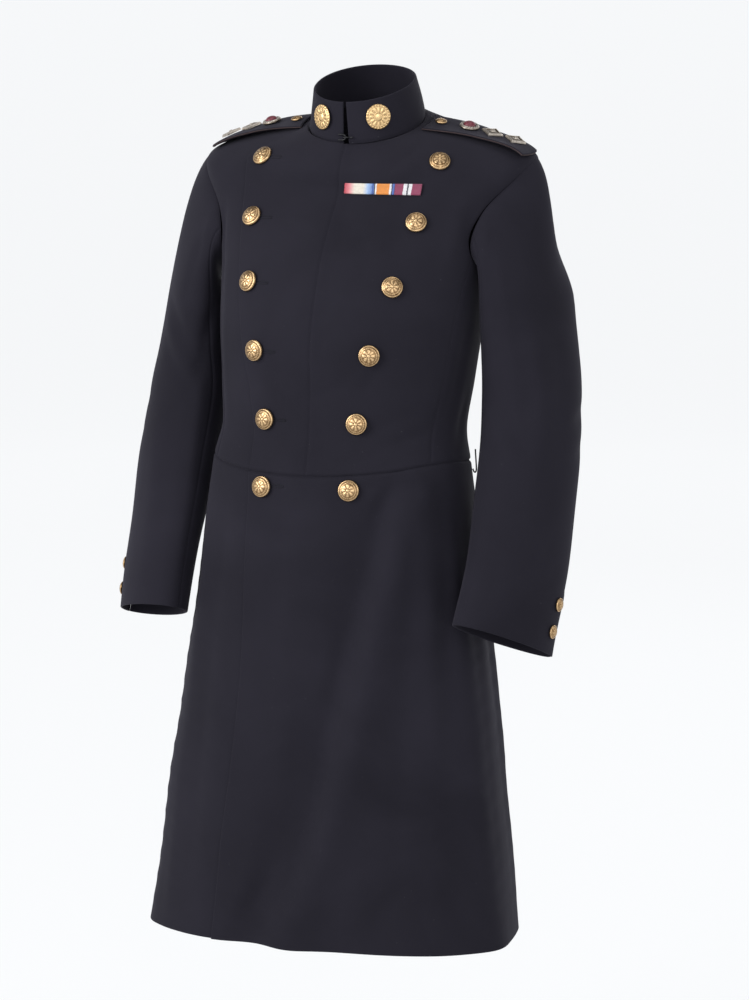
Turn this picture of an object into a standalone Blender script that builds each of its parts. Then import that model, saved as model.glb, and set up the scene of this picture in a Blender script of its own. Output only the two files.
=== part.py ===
"""Knee-length double-breasted military frock coat, worn and hollow, with nobody inside it.

Sizes are in metres. +X is the wearer's left, -Y the front and +Z up. The origin is the middle of the neck opening,
at the seam of the collar. Each piece that a tailor cuts or sews on is one object.

The body and the skirt are walls laid on rings. A ring is level all round or tilted, and wider at the sides than it is
deep. An angle of 0 is the middle of the front, 90 degrees the wearer's left side and 180 degrees the middle back.
"""
import math
from collections import namedtuple

import bmesh
import bpy
from mathutils import Matrix, Vector

# Cloth.
CLOTH = 0.0025
SEAM_GAP = 0.0003
EDGE_DRAWN_IN = 0.75 * SEAM_GAP
LAYER_GAP = 0.001
LAP_STEP = CLOTH + LAYER_GAP
LAP_BLEND = math.radians(7.0)

Ring = namedtuple("Ring", "name half_width y_side front_depth back_depth z_front z_side z_back square")

# The body from the waist seam up to the neck. y_side is where the ring is widest.
BODY_RINGS = [
    Ring("waist_seam", 0.153, -0.083, 0.112, 0.100, -0.396, -0.393, -0.392, 2.2),
    Ring("waist", 0.146, -0.076, 0.107, 0.096, -0.352, -0.352, -0.352, 2.2),
    Ring("low_ribs", 0.149, -0.062, 0.117, 0.100, -0.300, -0.300, -0.300, 2.3),
    Ring("ribs", 0.153, -0.052, 0.127, 0.112, -0.250, -0.248, -0.248, 2.3),
    Ring("chest", 0.156, -0.042, 0.124, 0.118, -0.200, -0.195, -0.195, 2.3),
    Ring("upper_chest", 0.163, -0.029, 0.118, 0.115, -0.158, -0.148, -0.150, 2.3),
    Ring("armhole_middle", 0.181, -0.010, 0.109, 0.103, -0.120, -0.098, -0.106, 2.2),
    Ring("shoulder_tip", 0.202, 0.010, 0.103, 0.085, -0.088, -0.048, -0.065, 2.1),
    Ring("middle_shoulder", 0.140, 0.008, 0.097, 0.075, -0.059, -0.0235, -0.020, 2.1),
    Ring("neck", 0.0675, 0.000, 0.070, 0.066, -0.031, -0.009, 0.013, 2.0),
]
WAIST_SEAM = 0.0
SHOULDER_TIP = 7.0
NECK_SEAM = 9.0

# How the waist seam rises away from the middle front, more on the wearer's left, and falls back behind the sides.
WAIST_BOW = 0.0125
WAIST_LEAN = 0.0050
WAIST_RISE_LEVELS = 2.0
WAIST_FALLS_FROM = math.radians(125.0)
WAIST_FALLS_OVER = math.radians(85.0)

# The skirt from the waist seam down to the hem.
SKIRT_RINGS = [
    Ring("waist_seam", 0.153, -0.083, 0.112, 0.100, -0.396, -0.393, -0.392, 2.2),
    Ring("hip", 0.160, -0.085, 0.118, 0.108, -0.452, -0.452, -0.452, 2.2),
    Ring("thigh", 0.179, -0.088, 0.127, 0.122, -0.595, -0.600, -0.600, 2.2),
    Ring("above_knee", 0.202, -0.104, 0.127, 0.136, -0.768, -0.780, -0.780, 2.2),
    Ring("hem", 0.223, -0.120, 0.124, 0.150, -0.938, -0.952, -0.952, 2.2),
]
HEM = 4.0
HEM_HIGHER_AT_LEFT = 0.009

# The collar, from the neck seam to its top edge, and its opening at the middle front.
COLLAR_RINGS = [
    Ring("seam", 0.0675, 0.000, 0.070, 0.066, -0.0303, -0.0083, 0.0137, 2.0),
    Ring("middle", 0.0635, -0.003, 0.069, 0.063, -0.007, 0.014, 0.035, 2.0),
    Ring("top", 0.0590, -0.008, 0.066, 0.059, 0.016, 0.0375, 0.056, 2.0),
]
COLLAR_OPENING = math.radians(2.2)

# Seams of the body. The armhole is an ellipse in angle and level.
ARMHOLE_ANGLE = math.radians(90.0)
ARMHOLE_HALF_ANGLE = math.radians(29.0)
ARMHOLE_BOTTOM = 4.5
ARMHOLE_MIDDLE = (ARMHOLE_BOTTOM + SHOULDER_TIP) / 2
ARMHOLE_HALF_LEVEL = (SHOULDER_TIP - ARMHOLE_BOTTOM) / 2
ARMHOLE_STEP = 15
SIDE_SEAM_AT_ARMHOLE = -45
BACK_SEAM_AT_ARMHOLE = 225
SIDE_SEAM_AT_WAIST = math.radians(57.0)
BACK_SEAM_AT_WAIST = math.radians(146.0)
HIP_SEAM = math.radians(146.0)
VENT_HALF_ANGLE = math.radians(0.2)

# Rows and columns of the grids that the panels are laid on.
LOW_ROWS = 9
SHOULDER_ROWS = 4
LAPEL_COLUMNS = 4
FOREPART_COLUMNS = 4
BACK_COLUMNS = 7
SKIRT_ROWS = 12
LAPPED_COLUMNS = 8
HIP_COLUMNS = 15
BACK_SKIRT_COLUMNS = 4
COLLAR_COLUMNS = 28
COLLAR_ROWS = 2
CAP_ROWS = 6
SLEEVE_ROWS = 9
STRAP_ROWS = 11
STRAP_COLUMNS = 4
RIBBON_COLUMNS = 3

# The lapel, from the middle front to its outer edge, by height.
LapelEdge = namedtuple("LapelEdge", "level width")
LAPEL_EDGES = [
    LapelEdge(0.0, 0.071),
    LapelEdge(1.0, 0.071),
    LapelEdge(2.0, 0.078),
    LapelEdge(3.0, 0.089),
    LapelEdge(4.0, 0.100),
    LapelEdge(5.0, 0.107),
    LapelEdge(6.0, 0.116),
    LapelEdge(7.0, 0.122),
    LapelEdge(7.7, 0.125),
    LapelEdge(9.0, 0.0650),
]
LAPEL_BELOW_COLLAR = 0.02
SKIRT_LAP_WIDTHS = [0.0725, 0.069, 0.0745, 0.089, 0.106]

# The main fold of the front of the skirt runs from the wearer's left hip down to the middle of the hem.
FOLD_TOP = math.radians(44.0)
FOLD_BOTTOM = math.radians(-14.0)
FOLD_DEPTH = 0.007
FOLD_HALF_ANGLE = math.radians(9.0)
SIDE_FOLD_DEPTH = 0.005
SIDE_FOLD_HALF_ANGLE = math.radians(12.0)
SIDE_FOLDS = [math.radians(a) for a in (75.0, 112.0, 205.0, 248.0, 291.0)]
RIDGE_OFF_TROUGH = 1.6
FOLD_GROWTH = 3
SIDE_FOLD_GROWTH = 1.3

# Sleeve sections, for the wearer's left. The long axis of a section points back and out by its turn.
Section = namedtuple("Section", "name x y z long short turn")
SLEEVE_SECTIONS = [
    Section("upper_arm", 0.207, -0.029, -0.215, 0.067, 0.034, 30.0),
    Section("above_elbow", 0.2105, -0.033, -0.268, 0.0645, 0.0405, 32.0),
    Section("elbow", 0.2135, -0.040, -0.325, 0.0615, 0.049, 35.0),
    Section("forearm", 0.219, -0.072, -0.410, 0.062, 0.046, 38.0),
    Section("wrist", 0.222, -0.106, -0.495, 0.062, 0.040, 41.0),
    Section("cuff", 0.219, -0.140, -0.585, 0.062, 0.036, 43.0),
]
# How far each sleeve swings to the wearer's left at each section.
SLEEVE_SWINGS = {
    1: [0, 0.0015, 0.0030, 0.0035, 0.0010, -0.0025],
    -1: [0, 0.0015, 0.0030, 0.0035, 0.0035, 0.0005],
}
# How far each cuff's hem is raised, and tipped up at its front.
CuffHem = namedtuple("CuffHem", "raised tipped")
CUFF_HEMS = {1: CuffHem(0.0050, 0.0060), -1: CuffHem(0.0045, 0.0010)}
HEM_LIFT_POWER = 4
CAP_TURN = 0.72
CAP_TURN_POWER = 0.6
CAP_DROP = 0.5
CAP_START = 0.75
CAP_END = 1.0
FORE_SEAM = -15
HIND_SEAM = 165

# Buttons, in pairs either side of the middle front: distance out, how far both are off to the wearer's left, height,
# a level near them, and how deep the shank sits in the hollow between the cloth's flat facets. The last pair is below
# the waist seam, on the skirt.
ButtonPair = namedtuple("ButtonPair", "name x off_left z near_level sunk")
BUTTON_PAIRS = [
    ButtonPair("1", 0.107, 0.0044, -0.050, 7.0, 0.0012),
    ButtonPair("2", 0.099, 0.0, -0.116, 4.0, 0.0),
    ButtonPair("3", 0.0856, 0.0, -0.185, 4.0, 0.0),
    ButtonPair("4", 0.0675, 0.0, -0.259, 4.0, 0.0),
    ButtonPair("5", 0.0544, 0.0, -0.336, 4.0, -0.0004),
    ButtonPair("6", 0.0514, 0.0, -0.409, 0.3, 0.0),
]
BUTTONS_NEAR_ANGLE = 0.5
# Half profile of a button, radius and height as shares of its radius, from the top of the dome to the shank.
BUTTON_PROFILE = [
    (0, 0.62),
    (0.55, 0.53),
    (0.90, 0.30),
    (1, 0.18),
    (0.94, 0.10),
    (0.28, 0.10),
    (0.28, 0),
    (0, 0),
]
BUTTON_RADIUS = 0.0122
BUTTON_STEPS = 12
SMALL_BUTTON_STEPS = 10
CUFF_BUTTON_RADIUS = 0.0080
STRAP_BUTTON_RADIUS = 0.0068
CUFF_BUTTONS_UP = (0.026, 0.057)
CUFF_BUTTON_OFF_SEAM = 26

# Shoulder straps, from the sleeve end to the neck end, in levels of the body.
STRAP_INNER_LEVEL = 8.86
STRAP_OUTER_HALF_WIDTH = 0.030
STRAP_INNER_HALF_WIDTH = 0.022
STRAP_THICK = 0.003
STRAP_GAP = 0.0006
# How each strap lies: the level of its outer end, how far it arches, and how far its front edge stands off there.
StrapLie = namedtuple("StrapLie", "outer_level arch front_stands")
STRAP_LIES = {1: StrapLie(7.12, 0.0008, 0.0085), -1: StrapLie(7.25, 0.0040, 0.0045)}
ORNAMENT_GAP = 0.0010
STRAP_BUTTON_X = 0.090
ORNAMENT_X = (0.123, 0.150, 0.177)
BOSS_RADIUS = 0.0115
BOSS_HEIGHT = 0.004
BOSS_DOME_RADIUS = 0.0072
BOSS_SEAT_HEIGHT = 0.5 * BOSS_HEIGHT
# Half profiles of the boss and of the dome seated in it: radius and height.
BOSS_PROFILE = [
    (0, BOSS_SEAT_HEIGHT),
    (BOSS_DOME_RADIUS + SEAM_GAP, BOSS_SEAT_HEIGHT),
    (BOSS_DOME_RADIUS + SEAM_GAP, BOSS_HEIGHT),
    (BOSS_RADIUS * 0.9, BOSS_HEIGHT * 0.85),
    (BOSS_RADIUS, BOSS_HEIGHT * 0.4),
    (BOSS_RADIUS, 0),
    (0, 0),
]
DOME_PROFILE = [
    (0, BOSS_HEIGHT * 1.1),
    (BOSS_DOME_RADIUS * 0.6, BOSS_HEIGHT * 0.9),
    (BOSS_DOME_RADIUS, BOSS_HEIGHT * 0.3),
    (BOSS_DOME_RADIUS, 0),
    (0, 0),
]
LOZENGE_RADIUS = 0.0135
LOZENGE_TOP_SHARE = 0.2
LOZENGE_HEIGHT = 0.0045
TOWARDS_BACK = Vector((0, 1, 0))
UPWARDS = Vector((0, 0, 1))

# Medal ribbons on the left breast.
RIBBON_ENDS_X = (0.0076, 0.0414, 0.0665, 0.0970)
RIBBON_Z = -0.0805
RIBBON_HEIGHT = 0.0125
RIBBON_THICK = 0.0016
RIBBON_NEAR = (0.4, 6.6)

# Collar badges, and the hook and eye that close the collar.
BADGE_ANGLES = {1: math.radians(34.5), -1: math.radians(28.5)}
BADGE_LEVEL = 1.12
BADGE_RADIUS = 0.0145
BADGE_HEIGHT = 0.003
BADGE_STEPS = 20
# Half profile of a badge: radius as a share of its radius, height as a share of its height.
BADGE_PROFILE = [
    (0, 1.5),
    (0.35, 1.3),
    (0.45, 0.7),
    (0.75, 0.9),
    (1, 0.35),
    (1, 0),
    (0, 0),
]
WIRE = 0.0009
WIRE_FACETS = 2
FASTENER_LEVEL = 0.28
FASTENER_HALF_HEIGHT = 0.0030
FASTENER_REACH = 0.0085
EYE_BEND = -0.002
EYE_TIP = 0.0008
HOOK_TIP = -0.0015
HOOK_BEND = 0.0030
HOOK_FOOT = 0.0055
HOOK_REACH = 0.0095

# Belt hook at the left side of the waist: distance off the cloth and height of its points.
HOOK_ANGLE = math.radians(106.0)
HOOK_POINTS = [
    (0.0013, -0.4010),
    (0.0025, -0.4040),
    (0.0041, -0.4050),
    (0.0052, -0.4030),
    (0.0053, -0.3990),
    (0.0049, -0.3920),
    (0.0044, -0.3850),
    (0.0040, -0.3780),
]

NAVY = (0.022, 0.021, 0.028)
GILT = (0.62, 0.40, 0.14)
TARNISHED = (0.33, 0.28, 0.20)
CRIMSON = (0.25, 0.01, 0.03)
BLACK = (0.01, 0.01, 0.012)
RIBBON_COLOUR = (0.55, 0.42, 0.45)

OBJECT_NAME = "double_breasted_frock_coat"
DELTA = 1e-4
AXIS_STEP = 0.01
NORMAL_STEP = 0.02
NORMAL_DEGREES = 2
CAP_ARRIVAL = 0.1
SHARP_EDGE = math.radians(40)
FIND_STEPS = 20
HALVINGS = 40


def clear_scene():
    for item in list(bpy.data.objects):
        bpy.data.objects.remove(item, do_unlink=True)


def material(name, colour, roughness, metallic):
    made = bpy.data.materials.new(name)
    made.use_nodes = True
    shader = made.node_tree.nodes["Principled BSDF"]
    shader.inputs["Base Color"].default_value = (*colour, 1.0)
    shader.inputs["Roughness"].default_value = roughness
    shader.inputs["Metallic"].default_value = metallic
    return made


def add_object(name, mesh, finish):
    """Puts a mesh in the coat's collection under its own name."""
    item = bpy.data.objects.new(name, mesh)
    COLLECTION.objects.link(item)
    if not mesh.materials:
        mesh.materials.append(finish)
    return item


def through(values, t):
    """Value at t of a smooth curve through equally spaced values."""
    last = len(values) - 1
    i = max(0, min(int(math.floor(t)), last - 1))
    f = t - i
    here = values[i]
    after = values[i + 1]
    before = values[i - 1] if i > 0 else 2 * here - after
    beyond = values[i + 2] if i + 2 <= last else 2 * after - here
    slope_here = (after - before) / 2
    slope_after = (beyond - here) / 2
    return (
        (2 * f**3 - 3 * f**2 + 1) * here
        + (f**3 - 2 * f**2 + f) * slope_here
        + (3 * f**2 - 2 * f**3) * after
        + (f**3 - f**2) * slope_after
    )


def ring_point(rings, angle, level):
    """Point of the cloth's outer face at an angle round the body and a level along the rings."""
    half_width, y_side, front, back, z_front, z_side, z_back, square = (
        through([ring[k] for ring in rings], level) for k in range(1, 9)
    )
    c = math.cos(angle)
    s = math.sin(angle)
    reach = (abs(c) ** square + abs(s) ** square) ** (-1 / square)
    depth = front if c > 0 else back
    tilt = (z_front - z_back) / 2
    bow = (z_front + z_back) / 2 - z_side
    return Vector((half_width * reach * s, y_side - depth * reach * c, z_side + tilt * c + bow * c * c))


def soft_step(value):
    """0 below 0, 1 above 1 and smooth between."""
    value = max(0.0, min(1.0, value))
    return value * value * (3 - 2 * value)


def waist_rise(angle, level):
    """How much higher than its ring the cloth is near the waist seam."""
    angle = (angle + math.pi) % (2 * math.pi) - math.pi
    s = math.sin(angle)
    kept = soft_step((WAIST_FALLS_FROM - abs(angle)) / WAIST_FALLS_OVER)
    return (WAIST_BOW * s * s + WAIST_LEAN * s) * kept * max(0.0, 1 - level / WAIST_RISE_LEVELS) ** 2


def body_point(angle, level):
    point = ring_point(BODY_RINGS, angle, level)
    point.z += waist_rise(angle, level)
    return point


def collar_point(angle, level):
    return ring_point(COLLAR_RINGS, angle, level)


def bump(angle, middle, half):
    """1 at the middle angle, falling smoothly to 0 on both sides."""
    off = (angle - middle + math.pi) % (2 * math.pi) - math.pi
    return math.exp(-((off / half) ** 2))


def skirt_fold(angle, level):
    """How far the skirt's folds move the cloth out, growing from nothing at the waist seam."""
    grown = level / HEM
    middle = FOLD_TOP + (FOLD_BOTTOM - FOLD_TOP) * grown
    ridge = bump(angle, middle + RIDGE_OFF_TROUGH * FOLD_HALF_ANGLE, FOLD_HALF_ANGLE)
    trough = bump(angle, middle, FOLD_HALF_ANGLE)
    side = sum(bump(angle, fold, SIDE_FOLD_HALF_ANGLE) for fold in SIDE_FOLDS)
    main_depth = FOLD_DEPTH * soft_step(grown * FOLD_GROWTH)
    side_depth = SIDE_FOLD_DEPTH * soft_step(grown * SIDE_FOLD_GROWTH)
    return main_depth * (ridge - trough) + side_depth * side


def skirt_point(angle, level):
    point = ring_point(SKIRT_RINGS, angle, level)
    flat_out = Vector((math.sin(angle), -math.cos(angle), 0))
    higher = HEM_HIGHER_AT_LEFT * math.sin(angle) * (level / HEM) ** 2 + waist_rise(angle, level)
    return point + flat_out * skirt_fold(angle, level) + Vector((0, 0, higher))


def outward(surface, angle, level):
    """Unit normal of a ring surface, away from the wearer, whether its levels run up or down."""
    round_way = surface(angle + DELTA, level) - surface(angle - DELTA, level)
    up_way = surface(angle, level + DELTA) - surface(angle, level - DELTA)
    normal = round_way.cross(up_way).normalized()
    return normal if up_way.z > 0 else -normal


def wall_normal(surface, angle, level):
    """Direction of a wall's thickness: level at the waist seam, so that body and skirt meet squarely there."""
    normal = outward(surface, angle, level)
    if level < DELTA:
        normal.z = 0.0
    return normal.normalized()


def find(surface, target, axes, angle, level):
    """Angle and level where two coordinates of the surface have the target's values."""
    first, second = axes
    for _ in range(FIND_STEPS):
        here = surface(angle, level)
        by_angle = (surface(angle + DELTA, level) - here) / DELTA
        by_level = (surface(angle, level + DELTA) - here) / DELTA
        off_first = target[0] - here[first]
        off_second = target[1] - here[second]
        size = by_angle[first] * by_level[second] - by_level[first] * by_angle[second]
        angle += (off_first * by_level[second] - by_level[first] * off_second) / size
        level += (by_angle[first] * off_second - off_first * by_angle[second]) / size
    return angle, level


def angle_at_x(surface, x, level):
    """Angle on the front half of a ring where it is x away from the middle."""
    low = 0.0
    high = math.pi / 2
    for _ in range(HALVINGS):
        middle = (low + high) / 2
        if surface(middle, level).x < x:
            low = middle
        else:
            high = middle
    return low


def left_layer(angle):
    """How far the left front stands out where it laps over the right one."""
    return LAP_STEP * (1 - soft_step((angle + LAP_BLEND) / (2 * LAP_BLEND)))


def right_layer(angle):
    return left_layer(angle) - LAP_STEP


def wall(name, outer, inner, finish, closed=False):
    """Closed wall between two grids of rows. A closed wall's rows run all round."""
    rows = len(outer)
    columns = len(outer[0])
    mesh = bmesh.new()
    out_verts = [[mesh.verts.new(p) for p in row] for row in outer]
    in_verts = [[mesh.verts.new(p) for p in row] for row in inner]
    steps = columns if closed else columns - 1
    for i in range(rows - 1):
        for j in range(steps):
            k = (j + 1) % columns
            mesh.faces.new((out_verts[i][j], out_verts[i][k], out_verts[i + 1][k], out_verts[i + 1][j]))
            mesh.faces.new((in_verts[i][j], in_verts[i + 1][j], in_verts[i + 1][k], in_verts[i][k]))
    for j in range(steps):
        k = (j + 1) % columns
        mesh.faces.new((out_verts[0][j], in_verts[0][j], in_verts[0][k], out_verts[0][k]))
        mesh.faces.new((out_verts[-1][j], out_verts[-1][k], in_verts[-1][k], in_verts[-1][j]))
    if not closed:
        for i in range(rows - 1):
            mesh.faces.new((out_verts[i][0], out_verts[i + 1][0], in_verts[i + 1][0], in_verts[i][0]))
            mesh.faces.new((out_verts[i][-1], in_verts[i][-1], in_verts[i + 1][-1], out_verts[i + 1][-1]))
    bmesh.ops.recalc_face_normals(mesh, faces=mesh.faces)
    data = bpy.data.meshes.new(name)
    mesh.to_mesh(data)
    mesh.free()
    data.shade_smooth()
    data.set_sharp_from_angle(angle=SHARP_EDGE)
    return add_object(name, data, finish)


def nudge(rows, gap):
    """Draws the edges of a grid in, so that neighbours stay apart."""
    pulled = [[p.copy() for p in row] for row in rows]
    last_row = len(rows) - 1
    last = len(rows[0]) - 1
    for i, row in enumerate(rows):
        pulled[i][0] += (row[1] - row[0]).normalized() * gap
        pulled[i][last] += (row[last - 1] - row[last]).normalized() * gap
    for j in range(last + 1):
        pulled[0][j] += (rows[1][j] - rows[0][j]).normalized() * gap
        pulled[last_row][j] += (rows[last_row - 1][j] - rows[last_row][j]).normalized() * gap
    return pulled


def panel(name, surface, grid, finish, layer=None, thick=CLOTH):
    """Cloth panel on a surface from a grid of angle and level pairs, lifted by its layer."""
    lift = layer or (lambda angle: 0.0)
    normals = [[wall_normal(surface, a, v) for a, v in row] for row in grid]
    outer = [[surface(a, v) + n * lift(a) for (a, v), n in zip(row, ns)] for row, ns in zip(grid, normals)]
    outer = nudge(outer, EDGE_DRAWN_IN)
    inner = [[p - n * thick for p, n in zip(row, ns)] for row, ns in zip(outer, normals)]
    return wall(name, outer, inner, finish)


def spread(start, end, steps):
    return [start + (end - start) * i / steps for i in range(steps + 1)]


def mirrored(grid):
    return [[(-a, v) for a, v in row] for row in grid]


def armhole(degrees):
    """Angle and level of the armhole's edge: 0 degrees is its front, 90 its top, 180 its back."""
    t = math.radians(degrees)
    return (
        ARMHOLE_ANGLE - ARMHOLE_HALF_ANGLE * math.cos(t),
        ARMHOLE_MIDDLE + ARMHOLE_HALF_LEVEL * math.sin(t),
    )


def side_edge(seam_at_waist, seam_at_armhole, armhole_degrees):
    """Side edge of a forepart or back, from the waist seam up the side seam, armhole and shoulder seam."""
    seam_angle, seam_level = armhole(seam_at_armhole)
    edge = [
        (seam_at_waist + (seam_angle - seam_at_waist) * i / LOW_ROWS, seam_level * i / LOW_ROWS)
        for i in range(LOW_ROWS)
    ]
    edge += [armhole(degrees) for degrees in armhole_degrees]
    edge += [
        (ARMHOLE_ANGLE, SHOULDER_TIP + (NECK_SEAM - SHOULDER_TIP) * i / SHOULDER_ROWS)
        for i in range(1, SHOULDER_ROWS + 1)
    ]
    return edge


FRONT_EDGE = side_edge(SIDE_SEAM_AT_WAIST, SIDE_SEAM_AT_ARMHOLE, range(SIDE_SEAM_AT_ARMHOLE, 91, ARMHOLE_STEP))
BACK_EDGE = side_edge(BACK_SEAM_AT_WAIST, BACK_SEAM_AT_ARMHOLE, range(BACK_SEAM_AT_ARMHOLE, 89, -ARMHOLE_STEP))


def rows_to_edge(middle_angle, edge, columns):
    """Grid from the middle of the front or back out to a side edge, one row for each point of the edge."""
    return [[(a, v) for a in spread(middle_angle, angle, columns)] for angle, v in edge]


def lapel_width(level):
    """Distance of the lapel's outer edge from the middle front."""
    for low, high in zip(LAPEL_EDGES, LAPEL_EDGES[1:]):
        if level <= high.level:
            break
    share = (level - low.level) / (high.level - low.level)
    return low.width + (high.width - low.width) * share


def lapel_row(level):
    """Angles and level across the lapel, from the middle front to its outer edge."""
    edge = angle_at_x(body_point, lapel_width(level), level)
    return [(a, level) for a in spread(0.0, edge, LAPEL_COLUMNS)]


def foreparts_and_lapels(finish):
    """Chest fronts and the lapels: the left lapel lies over the right forepart, the right one under the left.

    A forepart's columns are the lapel's as far as its edge, so that the two layers follow each other.
    """
    lapel = [lapel_row(level) for _, level in FRONT_EDGE]
    below_collar = [(a, level - LAPEL_BELOW_COLLAR) for a, level in lapel[-1]]
    forepart = [
        row + [(a, level) for a in spread(row[-1][0], side, FOREPART_COLUMNS)[1:]]
        for row, (side, level) in zip(lapel, FRONT_EDGE)
    ]
    panel("forepart_left", body_point, forepart, finish, left_layer)
    panel("forepart_right", body_point, mirrored(forepart), finish, right_layer)
    lapel[-1] = below_collar
    panel("lapel_left", body_point, mirrored(lapel), finish, left_layer)
    panel("lapel_right", body_point, lapel, finish, right_layer)


def backs(finish):
    grid = rows_to_edge(math.pi, BACK_EDGE, BACK_COLUMNS)
    panel("back_left", body_point, grid, finish)
    panel("back_right", body_point, mirrored(grid), finish)


def side_bodies(finish):
    """Panel under the arm, whose top is the lower edge of the armhole."""
    degrees = range(SIDE_SEAM_AT_ARMHOLE, BACK_SEAM_AT_ARMHOLE - 360 - 1, -ARMHOLE_STEP)
    tops = [armhole(d) for d in degrees]
    feet = spread(SIDE_SEAM_AT_WAIST, BACK_SEAM_AT_WAIST, len(tops) - 1)
    grid = [
        [(foot + (a - foot) * i / LOW_ROWS, v * i / LOW_ROWS) for foot, (a, v) in zip(feet, tops)]
        for i in range(LOW_ROWS + 1)
    ]
    panel("side_body_left", body_point, grid, finish)
    panel("side_body_right", body_point, mirrored(grid), finish)


def skirts(finish):
    """Front skirts from the lapped front edge round the hip, and back skirts from there to the vent."""
    left = []
    right = []
    back = []
    for i in range(SKIRT_ROWS + 1):
        level = HEM * i / SKIRT_ROWS
        lap = angle_at_x(skirt_point, through(SKIRT_LAP_WIDTHS, level), level)
        lapped = spread(-lap, lap, LAPPED_COLUMNS)
        round_hip = spread(lap, HIP_SEAM, HIP_COLUMNS)[1:]
        left.append([(a, level) for a in lapped + round_hip])
        right.append([(a, level) for a in [-a for a in round_hip[::-1]] + lapped])
        back.append([(a, level) for a in spread(HIP_SEAM, math.pi - VENT_HALF_ANGLE, BACK_SKIRT_COLUMNS)])
    panel("skirt_left", skirt_point, left, finish, left_layer)
    panel("skirt_right", skirt_point, right, finish, right_layer)
    panel("back_skirt_left", skirt_point, back, finish)
    panel("back_skirt_right", skirt_point, mirrored(back), finish)


def collar(finish):
    grid = [
        [(a, 2 * i / COLLAR_ROWS) for a in spread(COLLAR_OPENING, 2 * math.pi - COLLAR_OPENING, COLLAR_COLUMNS)]
        for i in range(COLLAR_ROWS + 1)
    ]
    panel("collar", collar_point, grid, finish)


def sleeve_axis(level, side):
    x, y, z = (through([s[k] for s in SLEEVE_SECTIONS], level) for k in (1, 2, 3))
    return Vector((x * side + through(SLEEVE_SWINGS[side], level), y, z))


def sleeve_section_point(degrees, level, side):
    """Point of the sleeve's outer face below the cap."""
    centre = sleeve_axis(level, side)
    down = (sleeve_axis(level + AXIS_STEP, side) - sleeve_axis(level - AXIS_STEP, side)).normalized()
    half_long, half_short, turn = (through([s[k] for s in SLEEVE_SECTIONS], level) for k in (4, 5, 6))
    turn = math.radians(turn)
    back_out = Vector((math.sin(turn) * side, math.cos(turn), 0))
    back_out = (back_out - down * back_out.dot(down)).normalized()
    across = down.cross(back_out) * side
    t = math.radians(degrees)
    hem = CUFF_HEMS[side]
    near_hem = (level / (len(SLEEVE_SECTIONS) - 1)) ** HEM_LIFT_POWER
    lift = Vector((0, 0, (hem.raised + hem.tipped * math.cos(t)) * near_hem))
    return centre - back_out * half_long * math.cos(t) + across * half_short * math.sin(t) + lift


def cap_point(degrees, share, side):
    """Point of the sleeve cap, from the armhole's edge at 0 to the first full section at 1."""
    angle, level = armhole(degrees)
    angle *= side
    start = body_point(angle, level)
    end = sleeve_section_point(degrees, 0.0, side)
    lower = sleeve_section_point(degrees, CAP_ARRIVAL, side)
    over_shoulder = body_point(angle, level - DELTA) - start
    rise = max(0.0, math.sin(math.radians(degrees)))
    leave = outward(body_point, angle, level) * (1 - CAP_TURN * rise**CAP_TURN_POWER)
    leave += over_shoulder.normalized() * rise
    leave += Vector((0, 0, -1)) * (1 - rise) * CAP_DROP
    span = (end - start).length
    leave = leave.normalized() * span * CAP_START
    arrive = (lower - end).normalized() * span * CAP_END
    f = share
    return (
        start * (2 * f**3 - 3 * f**2 + 1)
        + leave * (f**3 - 2 * f**2 + f)
        + end * (3 * f**2 - 2 * f**3)
        + arrive * (f**3 - f**2)
    )


def sleeve_point(degrees, travel, side):
    """Point of the sleeve, with travel from -1 at the armhole, 0 at the first section, to the cuff."""
    if travel < 0:
        return cap_point(degrees, travel + 1, side)
    return sleeve_section_point(degrees, travel, side)


def sleeve_outward(degrees, travel, side):
    low = max(-1.0, travel - NORMAL_STEP)
    high = travel + NORMAL_STEP
    along = sleeve_point(degrees, high, side) - sleeve_point(degrees, low, side)
    before = sleeve_point(degrees - NORMAL_DEGREES, travel, side)
    beyond = sleeve_point(degrees + NORMAL_DEGREES, travel, side)
    round_way = beyond - before
    normal = round_way.cross(along).normalized()
    centre = sleeve_point(degrees, travel, side) + sleeve_point(degrees + 180, travel, side)
    outside = sleeve_point(degrees, travel, side) - centre / 2
    return normal if normal.dot(outside) > 0 else -normal


def sleeve_half(name, start, end, side, finish):
    """Top or under sleeve: the cloth between two of the sleeve's seams, from the armhole to the cuff."""
    last = len(SLEEVE_SECTIONS) - 1
    travels = spread(-1.0, 0.0, CAP_ROWS) + spread(0.0, last, SLEEVE_ROWS)[1:]
    degrees = range(start, end + 1, ARMHOLE_STEP)
    normals = [[sleeve_outward(d, v, side) for d in degrees] for v in travels]
    outer = [[sleeve_point(d, v, side) for d in degrees] for v in travels]
    outer = nudge(outer, EDGE_DRAWN_IN)
    inner = [[p - n * CLOTH for p, n in zip(row, ns)] for row, ns in zip(outer, normals)]
    return wall(name, outer, inner, finish)


def sleeves(finish):
    for word, side in (("left", 1), ("right", -1)):
        sleeve_half(f"sleeve_{word}_top", FORE_SEAM, HIND_SEAM, side, finish)
        sleeve_half(f"sleeve_{word}_under", HIND_SEAM, FORE_SEAM + 360, side, finish)


def turned(name, profile, finish, steps):
    """Turned piece from a profile of radius and height pairs, top to bottom down its outer side."""
    mesh = bmesh.new()
    verts = [mesh.verts.new((radius, 0, height)) for radius, height in profile]
    for a, b in zip(verts, verts[1:]):
        mesh.edges.new((a, b))
    data = bpy.data.meshes.new(name)
    mesh.to_mesh(data)
    mesh.free()
    item = add_object(name, data, finish)
    screw = item.modifiers.new("turn", "SCREW")
    screw.axis = "Z"
    screw.steps = steps
    screw.render_steps = steps
    screw.use_merge_vertices = True
    screw.merge_threshold = 1e-5
    screw.use_smooth_shade = True
    return item


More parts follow.
